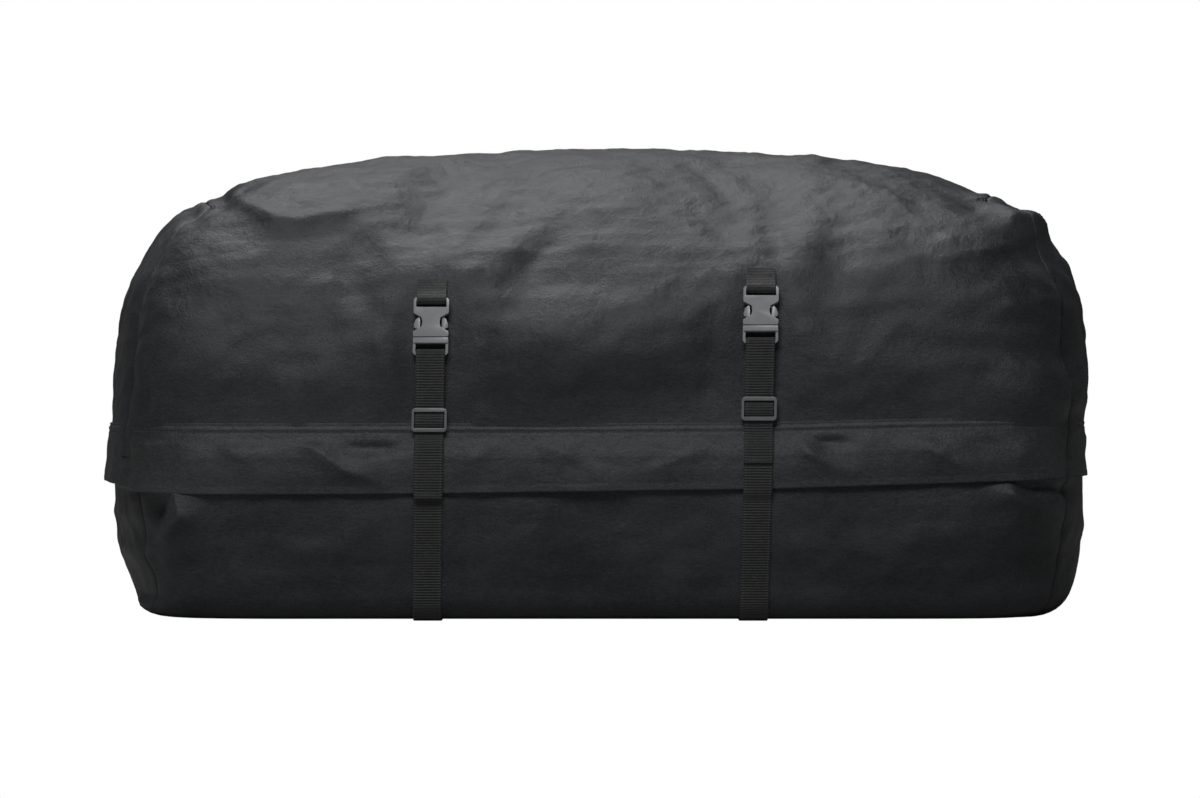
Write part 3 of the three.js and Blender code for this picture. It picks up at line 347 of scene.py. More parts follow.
# Broad lumps of the load, and small ones of the cloth over it
def lumps(p):
    q = p * [1, 1, 1.25]
    calm = 1 - 0.55 * smooth(up_dome(p) * 2 - 0.9)
    total = calm * (1.3 * waves(q, 230, 3) + 0.8 * waves(q, 105, 4))
    total += 0.5 * waves(q, 52, 5) + 0.3 * waves(q, 24, 6)
    total += smooth((up_dome(p) - 0.55) / 0.3) * (0.35 * waves(q, 34, 8) + 0.25 * waves(q, 15, 9))
    return smooth((p[..., 2] - 15) / 40) * off_straps(p) * off_zip(p, 20, 45) * total


# Gathers that run away from the seams, as sewn cloth has
def puckers(p):
    d, corner = seam_distance(p)
    along = np.where(corner, p[..., 2], p[..., 1])
    side = np.sign(np.abs(p[..., 0] / HALF_W) / CORNER - np.abs(p[..., 1] / HALF_D))
    phase = 0.9 * np.sin(along * 0.021 + 1.3) + 1.1 * np.sin(along * 0.047 + side)
    ripple = np.sin(along * 2 * math.pi / 31 + phase + d * 0.03)
    ripple += 0.5 * np.sin(along * 2 * math.pi / 16.5 + 2 * phase)
    reach = np.exp(-d / 22) * (1 - np.exp(-d / 4))
    return 0.7 * ripple * reach * smooth((p[..., 2] - 20) / 30) * off_zip(p, 13, 12)


# The corner seams of the cloth lie in a shallow groove
def groove(p):
    d, corner = seam_distance(p)
    lid = smooth((p[..., 2] - 165) / 40)
    depth = lid * corner * 3.0 * bell(d, 0, 17) + (0.6 + 0.5 * corner) * bell(d, 0, 4.5)
    return -depth * smooth((p[..., 2] - UNDER) / 30)


# The load fills the top left corner and the foot of the right side more than the rest, and the crown and the
# left side's middle less
def corners(p):
    x, z = p[..., 0], p[..., 2]
    shoulder = 10 * bell(x, -392, 40) * bell(z, 372, 34)
    foot = 8 * smooth((x - 370) / 60) * bell(z, 28, 26)
    crown = 5.5 * smooth((z - 385) / 45) * bell(x, -35, 235)
    waist = 8 * smooth((-x - 395) / 35) * bell(z, 240, 48)
    return shoulder + foot - crown - waist


def visual_relief(p):
    return groove(p) + swell(p) + fill(p) + creases(p) + lumps(p) + puckers(p) + corners(p)


# Below the flap the left corner seam is drawn in towards the middle
def drawn_in(p):
    z = p[..., 2]
    near = bell(p[..., 0], -420, 40) * smooth((-p[..., 1] / HALF_D - 0.5) / 0.3)
    depth = smooth((132 - z) / 16) * smooth((z - 8) / 14) * (1 - 0.6 * bell(z, 57, 12))
    moved = p.copy()
    moved[..., 0] += TUB_SEAM_SHIFT * near * depth
    return moved


# Meshes
def mesh_object(name, points, faces, uv=None):
    mesh = bpy.data.meshes.new(name)
    mesh.from_pydata((points * MM).tolist(), [], faces)
    mesh.validate()
    mesh.polygons.foreach_set("use_smooth", [True] * len(mesh.polygons))
    if uv is not None:
        layer = mesh.uv_layers.new(name="UVMap")
        idx = np.empty(len(mesh.loops), int)
        mesh.loops.foreach_get("vertex_index", idx)
        layer.data.foreach_set("uv", (uv[idx] * MM).astype(np.float32).ravel())
    obj = bpy.data.objects.new(name, mesh)
    bpy.context.scene.collection.objects.link(obj)
    return obj


def grid_faces(rows, cols, flip=False, wrap=False):
    j, i = np.meshgrid(np.arange(rows - 1), np.arange(cols if wrap else cols - 1), indexing="ij")
    a = j * cols + i
    b = j * cols + (i + 1) % cols
    c, d = b + cols, a + cols
    quads = np.stack([a, d, c, b] if flip else [a, b, c, d], -1).reshape(-1, 4)
    return quads.tolist()


# A tube's faces, closed at both ends
def tube_faces(rows, cols):
    ring = list(range(cols))
    return grid_faces(rows, cols, wrap=True) + [ring[::-1], [(rows - 1) * cols + i for i in ring]]


# The length run along a grid of points from its first row or column
def grid_run(points, axis):
    run = np.cumsum(np.linalg.norm(np.diff(points, axis=axis), axis=-1), axis)
    return np.concatenate([np.zeros_like(run.take([0], axis)), run], axis)


def grid_object(name, points, flip=False):
    uv = np.stack([grid_run(points, 1), grid_run(points, 0)], -1).reshape(-1, 2)
    return mesh_object(name, points.reshape(-1, 3), grid_faces(*points.shape[:2], flip), uv)


def spread(a, b, n, crowd=0.0):
    t = np.linspace(0, 1, n + 1)
    return a + (b - a) * (t - crowd * np.sin(2 * np.pi * t) / (2 * np.pi))


# The whole bag as one closed skin, for the cloth simulation, a little slack over the top
def bag_skin(around=200):
    a = np.linspace(0, 2 * math.pi, around, endpoint=False)
    dx, dy = np.cos(a), np.sin(a)
    big = np.maximum(np.abs(dx), np.abs(dy))
    turn = STRAIGHT + BASE_R * math.pi / 2 * np.linspace(1, 0.1, 6)
    foot = wall_point(dx, dy, turn[0])
    rings = [foot * [s, s, 1] for s in (0.25, 0.5, 0.75, 0.92)]
    rings += [wall_point(dx, dy, drop) for drop in np.concatenate([turn, np.linspace(STRAIGHT, 0, 22)])]
    rings += [dome_point(dx / big, dy / big, t) for t in np.linspace(0.04, 1, 26)]
    rings += [dome_point(dx / big * t, dy / big * t, 1) for t in np.linspace(0.96, 0.04, 24)]
    points = np.stack(rings, 0)
    return points.reshape(-1, 3), tube_faces(len(rings), around)


def vertex_places(mesh):
    flat = np.empty(len(mesh.vertices) * 3, np.float32)
    mesh.vertices.foreach_get("co", flat)
    return flat.reshape(-1, 3).astype(float) / MM


# Where the cloth is held: at its seams, along the zip, under the straps and on the base
def held(p):
    pin = 1 - smooth((seam_distance(p)[0] - 4) / 11)
    pin = np.maximum(pin, 1 - smooth((np.abs(p[..., 2] - HEM) - 33) / 22))
    pin = np.maximum(pin, 1 - smooth((p[..., 2] - 10) / 16))
    return np.maximum(pin, 1 - off_straps(p, 14, 26))


# The broad part of some values at places on the skin
def broad_part(places, values, reach):
    pick = places[:: max(1, len(places) // 1400)].astype(np.float32)
    every = places.astype(np.float32)
    apart = (pick ** 2).sum(1)[:, None] + (every ** 2).sum(1)[None, :] - 2 * pick @ every.T
    weight = np.exp(-apart / reach ** 2)
    mean = weight @ values / weight.sum(1)[:, None]
    return weight.T @ mean / weight.sum(0)[:, None]


# The bag is blown up against its seams and straps. The broad part of the moves is taken off, so that the
# outline stays. Gives a search tree of places and how far each moved.
def blown_up():
    points, faces = bag_skin()
    obj = mesh_object("cloth_skin", points, faces)
    remesh = obj.modifiers.new("even", "REMESH")
    remesh.mode = "VOXEL"
    remesh.voxel_size = SKIN_CELL * MM
    even = bpy.data.meshes.new_from_object(obj.evaluated_get(bpy.context.evaluated_depsgraph_get()))
    obj.modifiers.clear()
    obj.data = even
    start = vertex_places(even)
    slack = smooth((start[:, 2] - FOOT) / RISE * 1.6 - 0.45) * (1 - held(start))
    begin = start - outward(start) * (SLACK * slack)[:, None]
    even.vertices.foreach_set("co", (begin * MM).astype(np.float32).ravel())
    group = obj.vertex_groups.new(name="held")
    for i, weight in enumerate(held(start)):
        if weight > 0.02:
            group.add([i], float(weight), "REPLACE")
    cloth = obj.modifiers.new("cloth", "CLOTH")
    how = cloth.settings
    how.quality, how.mass = 5, 0.3
    how.tension_stiffness = how.compression_stiffness = 15
    how.shear_stiffness, how.bending_stiffness = 5, 0.2
    how.tension_damping = how.compression_damping = 5
    how.air_damping = 2
    how.use_pressure, how.uniform_pressure_force = True, 3.5
    how.effector_weights.gravity = 0
    how.vertex_group_mass, how.pin_stiffness = "held", 1
    how.shrink_min = -0.009
    cloth.collision_settings.use_self_collision = False
    cloth.point_cache.frame_start, cloth.point_cache.frame_end = 1, FRAMES
    for frame_number in range(1, FRAMES + 1):
        bpy.context.scene.frame_set(frame_number)
    end = vertex_places(obj.evaluated_get(bpy.context.evaluated_depsgraph_get()).data)
    bpy.context.scene.frame_set(1)
    moved = end - start
    moved -= broad_part(start, moved, 75) * (1 - held(start))[:, None]
    far = np.linalg.norm(moved, axis=1, keepdims=True)
    moved *= np.minimum(1, MOST_MOVED / np.maximum(far, 1e-6))
    tree = kdtree.KDTree(len(start))
    for i, place in enumerate(start):
        tree.insert(place, i)
    tree.balance()
    bpy.data.objects.remove(obj)
    return tree, moved


def settled(base):
    if SKIN is None:
        return np.zeros_like(base)
    tree, moved = SKIN
    flat = base.reshape(-1, 3)
    near = [tree.find_n(place, 10) for place in flat]
    index = np.array([[hit[1] for hit in hits] for hits in near])
    away = np.array([[hit[2] for hit in hits] for hits in near])
    weight = bell(away, 0, 11)
    weight /= weight.sum(1, keepdims=True)
    return (moved[index] * weight[..., None]).sum(1).reshape(base.shape)


# A panel: base points on the smooth bag, then relief, and borders that roll in as a sewn edge does
def panel(name, base, flip, sewn):
    out = outward(base)
    rise = visual_relief(base)
    along, across = grid_run(base, 0), grid_run(base, 1)
    edges = {"left": across, "right": across[:, -1:] - across, "high": along[-1:, :] - along}
    for side in sewn:
        rise = rise - EDGE_ROLL * bell(edges[side], 0, 1.7)
    p = drawn_in(base + out * rise[..., None] + settled(base))
    deep = -out * HEM_DEPTH
    for side in sewn:
        axis, end = (0, [-1]) if side == "high" else (1, [0] if side == "left" else [-1])
        rim, inward = np.take(p, end, axis), np.take(deep, end, axis)
        first = side == "left"
        p = np.concatenate([rim + inward, p] if first else [p, rim + inward], axis)
        deep = np.concatenate([inward, deep] if first else [deep, inward], axis)
    return grid_object(name, p, flip)


FINE = 1.0
TRIM = 0.2 / HALF_W
EDGE_ROLL, HEM_DEPTH = 0.8, 3.0
SKIN_CELL, FRAMES = 12.0, 14
SLACK, MOST_MOVED = 12.0, 12.0


def count(n):
    return max(4, int(n * FINE))


# Places across the front or back, and along a side, closer together at both ends
def front_run(n):
    return spread(-CORNER + TRIM, CORNER - TRIM, count(n), 0.25)


def side_run():
    return spread(-1 + TRIM, 1 - TRIM, count(190), 0.35)


def lid_main():
    u = front_run(236)[None, :]
    walls = spread(FOOT - HEM, 0, count(15))[:-1, None]
    front = wall_point(u, -1, walls)
    rises = dome_point(u, -1, spread(0, 1, count(84))[:, None])
    tops = dome_point(u, spread(-1, 1, count(120), 0.45)[1:-1, None], 1)
    falls = dome_point(u, 1, spread(1, 0, count(56))[:, None])
    back = wall_point(u, 1, spread(0, FOOT - ZIP - 0.2, count(14))[1:, None])
    base = np.concatenate([front, rises, tops, falls, back], 0)
    return panel("lid_main_cloth", base, False, ("left", "right", "high"))


def lid_side(side, sign):
    v = side_run()[None, :]
    walls = wall_point(sign * CORNER, v, spread(FOOT - HEM, 0, count(12))[:-1, None])
    rises = dome_point(sign * CORNER, v, spread(0, 1 - TRIM * 1.6, count(66))[:, None])
    base = np.concatenate([walls, rises], 0)
    return panel("lid_side_cloth_" + side, base, sign < 0, ("left", "right", "high"))


def tub_drops(top, n):
    turn = STRAIGHT + np.array([0.12, 0.25, 0.38, 0.5, 0.62, 0.75, 0.88, 1.0]) * BASE_R * math.pi / 2
    return np.concatenate([spread(FOOT - top, STRAIGHT, count(n)), turn])[::-1][:, None]


# A line of places along a wall, given as its axis and its place on that axis
def wall_line(line, fixed):
    return (line[None, :], fixed[1]) if fixed[0] == "y" else (fixed[1], line[None, :])


def tub_wall(name, top, line, fixed, flip, sewn):
    return panel(name, wall_point(*wall_line(line, fixed), tub_drops(top, 36)), flip, sewn)


def tub():
    u, v, ends = front_run(236), side_run(), ("left", "right")
    return [(tub_wall(name.replace("panel", "cloth"), top, line, fixed, flip, sewn), name)
            for name, top, line, fixed, flip, sewn in (
        ("tub_front_panel", TUB_TOP, u, ("y", -1), False, ends),
        ("tub_back_panel", ZIP - 0.2, u, ("y", 1), True, ends + ("high",)),
        ("tub_side_panel_left", TUB_TOP, v, ("x", -CORNER), True, ends),
        ("tub_side_panel_right", TUB_TOP, v, ("x", CORNER), False, ends),
    )]


# The storm flap: its edges climb to the right across the front, and it stands off the zip
FLAP_LOW_LINE = [(-419, 119), (-407, 116), (-365, 114), (-260, 114), (-129, 115), (3, 117), (152, 119),
                 (284, 123), (338, 125), (385, 126), (403, 128), (417, 130)]
FLAP_TOP_LINE = [(-419, 175), (3, 175), (152, 176), (266, 179), (355, 180), (417, 181)]
SIDE_ENDS = [-1.0, -0.93, -0.8, -0.4, 1.0]
SIDE_LOWS = {-1: [119, 122, 124, 121, 117], 1: [130, 130, 129, 124, 117]}
SIDE_TOPS = {-1: [175, 175, 175, 175, 175], 1: [181, 181, 180, 178, 175]}
STITCH_ROWS = (173.2, 167.5)
FLAP_OFF, FLAP_T = 1.6, 1.5


def along_line(x, line):
    xs, zs = zip(*line)
    return np.interp(x, xs, zs)


# Room over the zip, from a height scaled to the flap's own edges
def flap_room(p, z=None):
    z = p[..., 2] if z is None else z
    share = np.where(p[..., 1] < 0, 1 - smooth((np.abs(p[..., 0]) / HALF_W - 0.72) / 0.16), 0)
    most = 1 + 4.3 * share
    sewn, hip = FLAP_TOP - 12, ZIP - 4.8
    upper = smooth((sewn - z) / (sewn - ZIP - 8))
    lower = smooth((hip - z) / (hip - FLAP_LOW))
    return 0.3 + (most - 0.3) * upper - (most - 0.42 * most - 0.3) * lower


# How the cloth hangs in that room: an even slope from the stitches to the zip
def flap_hang(p, z):
    t = np.clip((FLAP_TOP - 9 - z) / (FLAP_TOP - 9 - ZIP - 5), 0, 1)
    most = flap_room(p, np.full(z.shape, ZIP + 4.0))
    above = 0.3 + (most - 0.3) * (0.4 * smooth(t) + 0.6 * t)
    return np.where(z > ZIP + 4, above, flap_room(p, z))


def flap_relief(p, z):
    loose = smooth((ZIP - z) / (ZIP - FLAP_LOW))
    wave = loose * 0.7 * (np.sin(p[..., 0] / 21 + 1.1) + np.sin(p[..., 1] / 21 * 0.82))
    front = (p[..., 1] < -HALF_D * 0.8) * 1.0
    gape = 3 * bell(p[..., 0], -13, 42) * front * loose
    free = off_straps(p) * smooth((164 - z) / 10)
    dents = 0.8 * waves(p * [1, 1, 0.9], 44, 11)
    dents += front * 2.3 * crease_sum(p[..., 0], p[..., 2], FLAP_CREASES, FLAP_DENTS)
    # Over the sliders' place at rest nothing sinks in, so that the pulls have room
    dents = np.maximum(dents, 0) + np.minimum(dents, 0) * smooth((np.abs(p[..., 0]) - 75) / 30)
    curl = 2.5 * loose * smooth((np.abs(p[..., 0]) - 424) / 15) * smooth((-p[..., 1] - 250) / 100)
    sewn = 0.7 * sum(bell(z, row, 1.2) for row in STITCH_ROWS)
    hem = 0.12 * bell(z, FLAP_LOW + 6.5, 1.3) - 0.15 * smooth((FLAP_LOW + 5.5 - z) / 1.5)
    shape = seam_relief(p) + swell(p) + fill(p) - 0.9 * smooth((z - 170) / 4)
    hung = shape + flap_hang(p, z) + np.maximum(wave, 0) + gape + curl + free * dents
    return hung + FLAP_OFF - sewn - hem * off_straps(p)


# The flap's base points, and their heights scaled to the flap's own edges
def flap_surface(line, fixed, rows=54):
    t = spread(0, 1, count(rows))[:, None]
    z = FLAP_LOW + (FLAP_TOP - FLAP_LOW) * t + 0 * line[None, :]
    if fixed[0] == "y":
        x = wall_point(line, fixed[1], FOOT - ZIP)[..., 0]
        low, high = along_line(x, FLAP_LOW_LINE), along_line(x, FLAP_TOP_LINE)
    else:
        side = -1 if fixed[1] < 0 else 1
        low, high = np.interp(line, SIDE_ENDS, SIDE_LOWS[side]), np.interp(line, SIDE_ENDS, SIDE_TOPS[side])
    height = low + (high - low) * t
    return wall_point(*wall_line(line, fixed), FOOT - height), z


def flap(name, line, fixed, flip):
    base, z = flap_surface(line, fixed)
    out = outward(base)
    rise = flap_relief(base, z)
    outer = base + out * rise[..., None]
    inner = base + out * (rise - FLAP_T)[..., None]
    low = outer[:1] - [0, 0, 0.9] - out[:1] * 0.45
    low2 = outer[:1] - [0, 0, 0.9] - out[:1] * 1.05
    high = outer[-1:] + [0, 0, 0.7] - out[-1:] * 0.5
    high2 = outer[-1:] + [0, 0, 0.7] - out[-1:] * 1.2
    ring = np.concatenate([low, outer, high, high2, inner[::-1], low2, low], 0)
    obj = grid_object(name, ring, flip)
    rows, cols = base.shape[:2]
    bm = bmesh.new()
    bm.from_mesh(obj.data)
    bm.verts.ensure_lookup_table()
    for c in (0, cols - 1):
        for j in range(rows + 1):
            corners = (j, j + 1, 2 * rows + 2 - j, 2 * rows + 3 - j)
            if len(set(corners)) == 4:
                bm.faces.new([bm.verts[k * cols + c] for k in corners])
    bmesh.ops.remove_doubles(bm, verts=bm.verts, dist=1e-6)
    bmesh.ops.recalc_face_normals(bm, faces=bm.faces)
    bm.to_mesh(obj.data)
    bm.free()
    return obj


def flaps():
    return [(flap(name + "_cloth", line, fixed, flip), name) for name, line, fixed, flip in (
        ("flap_front", front_run(280), ("y", -1), False), ("flap_left", side_run(), ("x", -CORNER), True),
        ("flap_right", side_run(), ("x", CORNER), False))]


# Stitches: short rounded bars of thread along a line of surface points, with its outward directions
def stitches(name, lines, pitch=3.6, length=2.3, thick=0.65):
    points, faces = [], []
    for path, out in lines:
        run = np.concatenate([[0], np.cumsum(np.linalg.norm(np.diff(path, axis=0), axis=1))])
        marks = np.arange(pitch, run[-1] - pitch, pitch)
        centre = np.stack([np.interp(marks, run, path[:, k]) for k in range(3)], -1)
        ahead = np.stack([np.interp(marks + 0.5, run, path[:, k]) for k in range(3)], -1)
        normal = np.stack([np.interp(marks, run, out[:, k]) for k in range(3)], -1)
        t = ahead - centre
        t /= np.linalg.norm(t, axis=1, keepdims=True)
        normal /= np.linalg.norm(normal, axis=1, keepdims=True)
        side = np.cross(t, normal)
        n = len(marks)
        first = sum(len(c) for c in points) + np.arange(n)
        section = [(-0.5, 0.0), (-0.36, 0.4), (0.0, 0.55), (0.36, 0.4), (0.5, 0.0)]
        for step, size in ((-0.5, 0.3), (-0.3, 1.0), (0.3, 1.0), (0.5, 0.3)):
            for across, up in section:
                places = centre + t * (step * length) + side * (across * thick * size)
                points.append(places + normal * (up * thick * size - 0.05))
        for ring in range(3):
            for k in range(4):
                a = first + (ring * 5 + k) * n
                faces += np.stack([a, a + 5 * n, a + 6 * n, a + n], -1).tolist()
    return mesh_object(name, np.concatenate(points, 0), faces)


def flap_rows():
    lines = []
    u = spread(-CORNER + TRIM * 6, CORNER - TRIM * 6, 420)
    v = spread(-1 + TRIM * 8, 1 - TRIM * 8, 300)
    for line, fixed in ((u, ("y", -1)), (v, ("x", -CORNER)), (v, ("x", CORNER))):
        base, z = flap_surface(line, fixed, 60 / FINE)
        out = outward(base)
        outer = base + out * flap_relief(base, z)[..., None]
        for height in STITCH_ROWS:
            k = int(np.argmin(np.abs(z[:, 0] - height)))
            lines.append((outer[k], out[k]))
    return lines


# Materials
def new_material(name, **looks):
    mat = bpy.data.materials.new(name)
    mat.use_nodes = True
    tree = mat.node_tree
    tree.nodes.clear()
    out = tree.nodes.new("ShaderNodeOutputMaterial")
    bsdf = tree.nodes.new("ShaderNodeBsdfPrincipled")
    tree.links.new(bsdf.outputs["BSDF"], out.inputs["Surface"])
    for key, value in looks.items():
        bsdf.inputs[key.replace("_", " ")].default_value = value
    place = node(tree, "ShaderNodeTexCoord")
    return mat, tree, bsdf, place.outputs["Object"], place.outputs["UV"]


def node(tree, kind, **values):
    n = tree.nodes.new(kind)
    for key, value in values.items():
        if key in n.inputs:
            n.inputs[key].default_value = value
        else:
            setattr(n, key, value)
    return n


def maths(tree, operation, a, b=None):
    n = node(tree, "ShaderNodeMath", operation=operation)
    for socket, value in zip(n.inputs, (a, b)):
        if isinstance(value, (int, float)):
            socket.default_value = value
        elif value is not None:
            tree.links.new(value, socket)
    return n.outputs[0]


def times(tree, a, b):
    return maths(tree, "MULTIPLY", a, b)


def plus(tree, first, *others):
    for other in others:
        first = maths(tree, "ADD", first, other)
    return first


# A value from 0 to 1 as one round 0, this large
def centred(tree, value, size):
    return times(tree, maths(tree, "SUBTRACT", value, 0.5), size)


def sine(tree, value, length):
    return maths(tree, "SINE", times(tree, value, 2 * math.pi / length))


def parts(tree, vector):
    split = node(tree, "ShaderNodeSeparateXYZ")
    tree.links.new(vector, split.inputs[0])
    return split.outputs


# A shader's colour between two, as a factor says
def coloured(tree, bsdf, factor, a, b):
    n = node(tree, "ShaderNodeMix", data_type="RGBA")
    tree.links.new(factor, n.inputs["Factor"])
    n.inputs["A"].default_value = (*a, 1)
    n.inputs["B"].default_value = (*b, 1)
    tree.links.new(n.outputs["Result"], bsdf.inputs["Base Color"])


def noise(tree, where, scale, detail=2.0, rough=0.5):
    n = node(tree, "ShaderNodeTexNoise", Scale=scale, Detail=detail, Roughness=rough)
    tree.links.new(where, n.inputs["Vector"])
    return n.outputs["Fac"]


def bumped(tree, bsdf, height, strength, distance, before=None):
    n = node(tree, "ShaderNodeBump", Distance=distance)
    if isinstance(strength, float):
        n.inputs["Strength"].default_value = strength
    else:
        tree.links.new(strength, n.inputs["Strength"])
    tree.links.new(height, n.inputs["Height"])
    if before is not None:
        tree.links.new(before, n.inputs["Normal"])
    tree.links.new(n.outputs["Normal"], bsdf.inputs["Normal"])
    return n.outputs["Normal"]


# Coated woven polyester: a plain weave under a thin matt coat, with a fine grain and soft clouds, and with a
# mottle where it faces up that is partly dust and partly painted glints of the coat, and finer creasing there
def cloth_material(name, dark, light, rough=0.57, mottle=0.5):
    looks = dict(Specular_IOR_Level=0.5, Sheen_Weight=0.02, Sheen_Roughness=0.45)
    mat, tree, bsdf, obj, uv = new_material(name, **looks)
    run = parts(tree, uv)
    weave = times(tree, sine(tree, run["X"], 0.0016), sine(tree, run["Y"], 0.0016))
    grain = noise(tree, obj, 620, 2, 0.7)
    slub = node(tree, "ShaderNodeMapping", Scale=(1.0, 1.0, 5.0))
    tree.links.new(obj, slub.inputs["Vector"])
    threads = noise(tree, slub.outputs[0], 140, 3, 0.65)
    cloudy = noise(tree, obj, 12, 5, 0.6)
    facing = parts(tree, node(tree, "ShaderNodeNewGeometry").outputs["Normal"])
    up = maths(tree, "MAXIMUM", facing["Z"], 0.0)
    # Where the cloth faces up its colour is mottled: partly dust, partly painted glints of the coat
    dust_and_glints = plus(tree, centred(tree, noise(tree, obj, 50, 6, 0.8), 4.5), centred(tree, grain, 3.5))
    tone = plus(tree, centred(tree, grain, 2.4), times(tree, dust_and_glints, times(tree, up, up)),
                centred(tree, threads, 1.8), centred(tree, cloudy, 2.0), 0.5)
    coloured(tree, bsdf, tone, dark, light)
    uneven = plus(tree, times(tree, cloudy, 0.2), rough - 0.1, times(tree, times(tree, dust_and_glints, up), 0.08))
    tree.links.new(uneven, bsdf.inputs["Roughness"])
    creased = plus(tree, times(tree, up, 0.45), mottle - 0.1)
    first = bumped(tree, bsdf, noise(tree, obj, 44, 5, 0.62), creased, 0.004)
    second = bumped(tree, bsdf, grain, 0.65, 0.0008, first)
    bumped(tree, bsdf, weave, 0.35, 0.00015, second)
    return mat


# Polyester webbing with ribs across it, every 2.4 mm along its length, and a line beside each selvedge.
# Without a UV map, as on the tabs and the thread, the ribs follow the height and the yarn is knotted.
def webbing_material(name, by_uv=True, dark=(0.010, 0.0105, 0.0112), light=(0.040, 0.0415, 0.0435)):
    mat, tree, bsdf, obj, uv = new_material(name, Roughness=0.7, Sheen_Weight=0.15)
    run = parts(tree, uv if by_uv else obj)
    length, breadth = run["Y" if by_uv else "Z"], run["X"]
    wobble = times(tree, noise(tree, obj, 260, 2), 1.6)
    ribs = maths(tree, "SINE", plus(tree, times(tree, length, 2 * math.pi / 0.0024), wobble))
    yarn = times(tree, sine(tree, breadth, 0.0011), ribs)
    height = plus(tree, times(tree, ribs, 0.7), times(tree, yarn, 0.3))
    # The ribs' crests are painted lighter and their grooves darker with the rib height: painted highlight and
    # shade
    tone = plus(tree, times(tree, height, 0.45), noise(tree, obj, 300, 2))
    if by_uv:
        edge = maths(tree, "SUBTRACT", maths(tree, "ABSOLUTE", breadth), 0.0107)
        line = maths(tree, "COMPARE", edge, 0.0)
        line.node.inputs[2].default_value = 0.0005
        tone = plus(tree, tone, times(tree, line, 0.9))
    else:
        knots = noise(tree, obj, 520, 3, 0.8)
        tone = plus(tree, tone, centred(tree, knots, 3.0))
        height = plus(tree, times(tree, height, 0.3), times(tree, knots, 2.2))
    coloured(tree, bsdf, tone, dark, light)
    first = bumped(tree, bsdf, noise(tree, obj, 900, 2), 0.3, 0.0003)
    bumped(tree, bsdf, height, 0.9, 0.0006, first)
    return mat


# Moulded acetal with a fine spark-eroded texture and lighter rubbed spots
def plastic_material(name, dark=(0.25, 0.258, 0.27), light=(0.33, 0.34, 0.355)):
    mat, tree, bsdf, obj, _ = new_material(name, Specular_IOR_Level=0.6)
    cloudy = noise(tree, obj, 120, 3)
    coloured(tree, bsdf, cloudy, dark, light)
    tree.links.new(plus(tree, times(tree, cloudy, 0.15), 0.26), bsdf.inputs["Roughness"])
    bumped(tree, bsdf, noise(tree, obj, 1400, 2), 0.25, 0.00015)
    return mat


def metal_material(name):
    mat, tree, bsdf, obj, _ = new_material(name, Metallic=0.5)
    cloudy = noise(tree, obj, 300, 3)
    coloured(tree, bsdf, cloudy, (0.01, 0.01, 0.011), (0.03, 0.03, 0.032))
    tree.links.new(plus(tree, times(tree, cloudy, 0.2), 0.28), bsdf.inputs["Roughness"])
    bumped(tree, bsdf, cloudy, 0.2, 0.0001)
    return mat


# Zip: woven tape with the coil's turns as fine bands along it
def zip_material(name):
    mat, tree, bsdf, obj, _ = new_material(name, Roughness=0.65)
    run = parts(tree, obj)
    coloured(tree, bsdf, noise(tree, obj, 500, 2), (0.008, 0.008, 0.009), (0.02, 0.02, 0.022))
    bumped(tree, bsdf, sine(tree, plus(tree, run["X"], run["Y"]), 0.0014), 0.6, 0.0003)
    return mat


def paint(obj, mat):
    obj.data.materials.clear()
    obj.data.materials.append(mat)


# Paints a piece, puts it on the bag's body and says which solid it takes the place of, if any
def dress(obj, mat, solid=None):
    paint(obj, mat)
    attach(obj, "bag")
    if solid:
        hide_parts(solid)


# Straps: the same line as the solids, in the plane of y and z
STRAP_W, STRAP_T, GAP = 25.4, 1.4, 0.3
SLIDE_Z, BUCKLE_Z = 178.5, 259.0
SLIDE_L, END_BAR, MID_BAR, BAR_T = 21.0, 3.5, 4.0, 2.6
BUCKLE_T, STANDOFF, BAR = 9.6, 0.6, 3.2
LATCH_DROP = 23.0


# What a strap lies on: the highest place across its width
def under_strap(z, x, front):
    best = -5.0
    for offset in (-0.5, 0, 0.5):
        p = np.array([x + offset * 31, (-1 if front else 1) * float(wall_share(z)) * HALF_D, z])
        best = max(best, float(relief(p)))
    extra = 0.1
    if front and FLAP_LOW <= z <= FLAP_TOP:
        extra += float(flap_room(p)) + FLAP_OFF
    return best + extra


def support(z, x, front, reach=6):
    return max(under_strap(z + d, x, front) for d in np.linspace(-reach, reach, 7))


# The wall's place at a height, the way up along it and the way out from it, in y and z
def wall_profile(z):
    slope = float(wall_share(z + 0.5) - wall_share(z - 0.5))
    tangent = np.array([-slope * HALF_D, 1.0])
    tangent /= np.linalg.norm(tangent)
    return -float(wall_share(z)) * HALF_D, tangent, np.array([-tangent[1], tangent[0]])


def off_wall(z, n):
    y, _, out = wall_profile(z)
    return np.array([y, z]) + out * n


# How far out the strap's main layer runs, over the slide's middle bar and under its end bars
def main_layer(z, slide_z, x, front):
    rest = support(z, x, front) + GAP + STRAP_T / 2
    d = abs(z - slide_z)
    flat, edge = MID_BAR / 2 + 0.4, SLIDE_L / 2 - END_BAR
    if d > SLIDE_L / 2 + 8:
        return rest
    level = support(slide_z, x, front, SLIDE_L / 2 + 6)
    low = level + GAP + STRAP_T / 2
    if d > edge:
        return low + (rest - low) * float(smooth((d - SLIDE_L / 2) / 8))
    rise = 1 - min(1, max(0, (d - flat) / (edge - flat)))
    return low + (level + GAP + BAR_T + GAP + STRAP_T / 2 - low) * rise


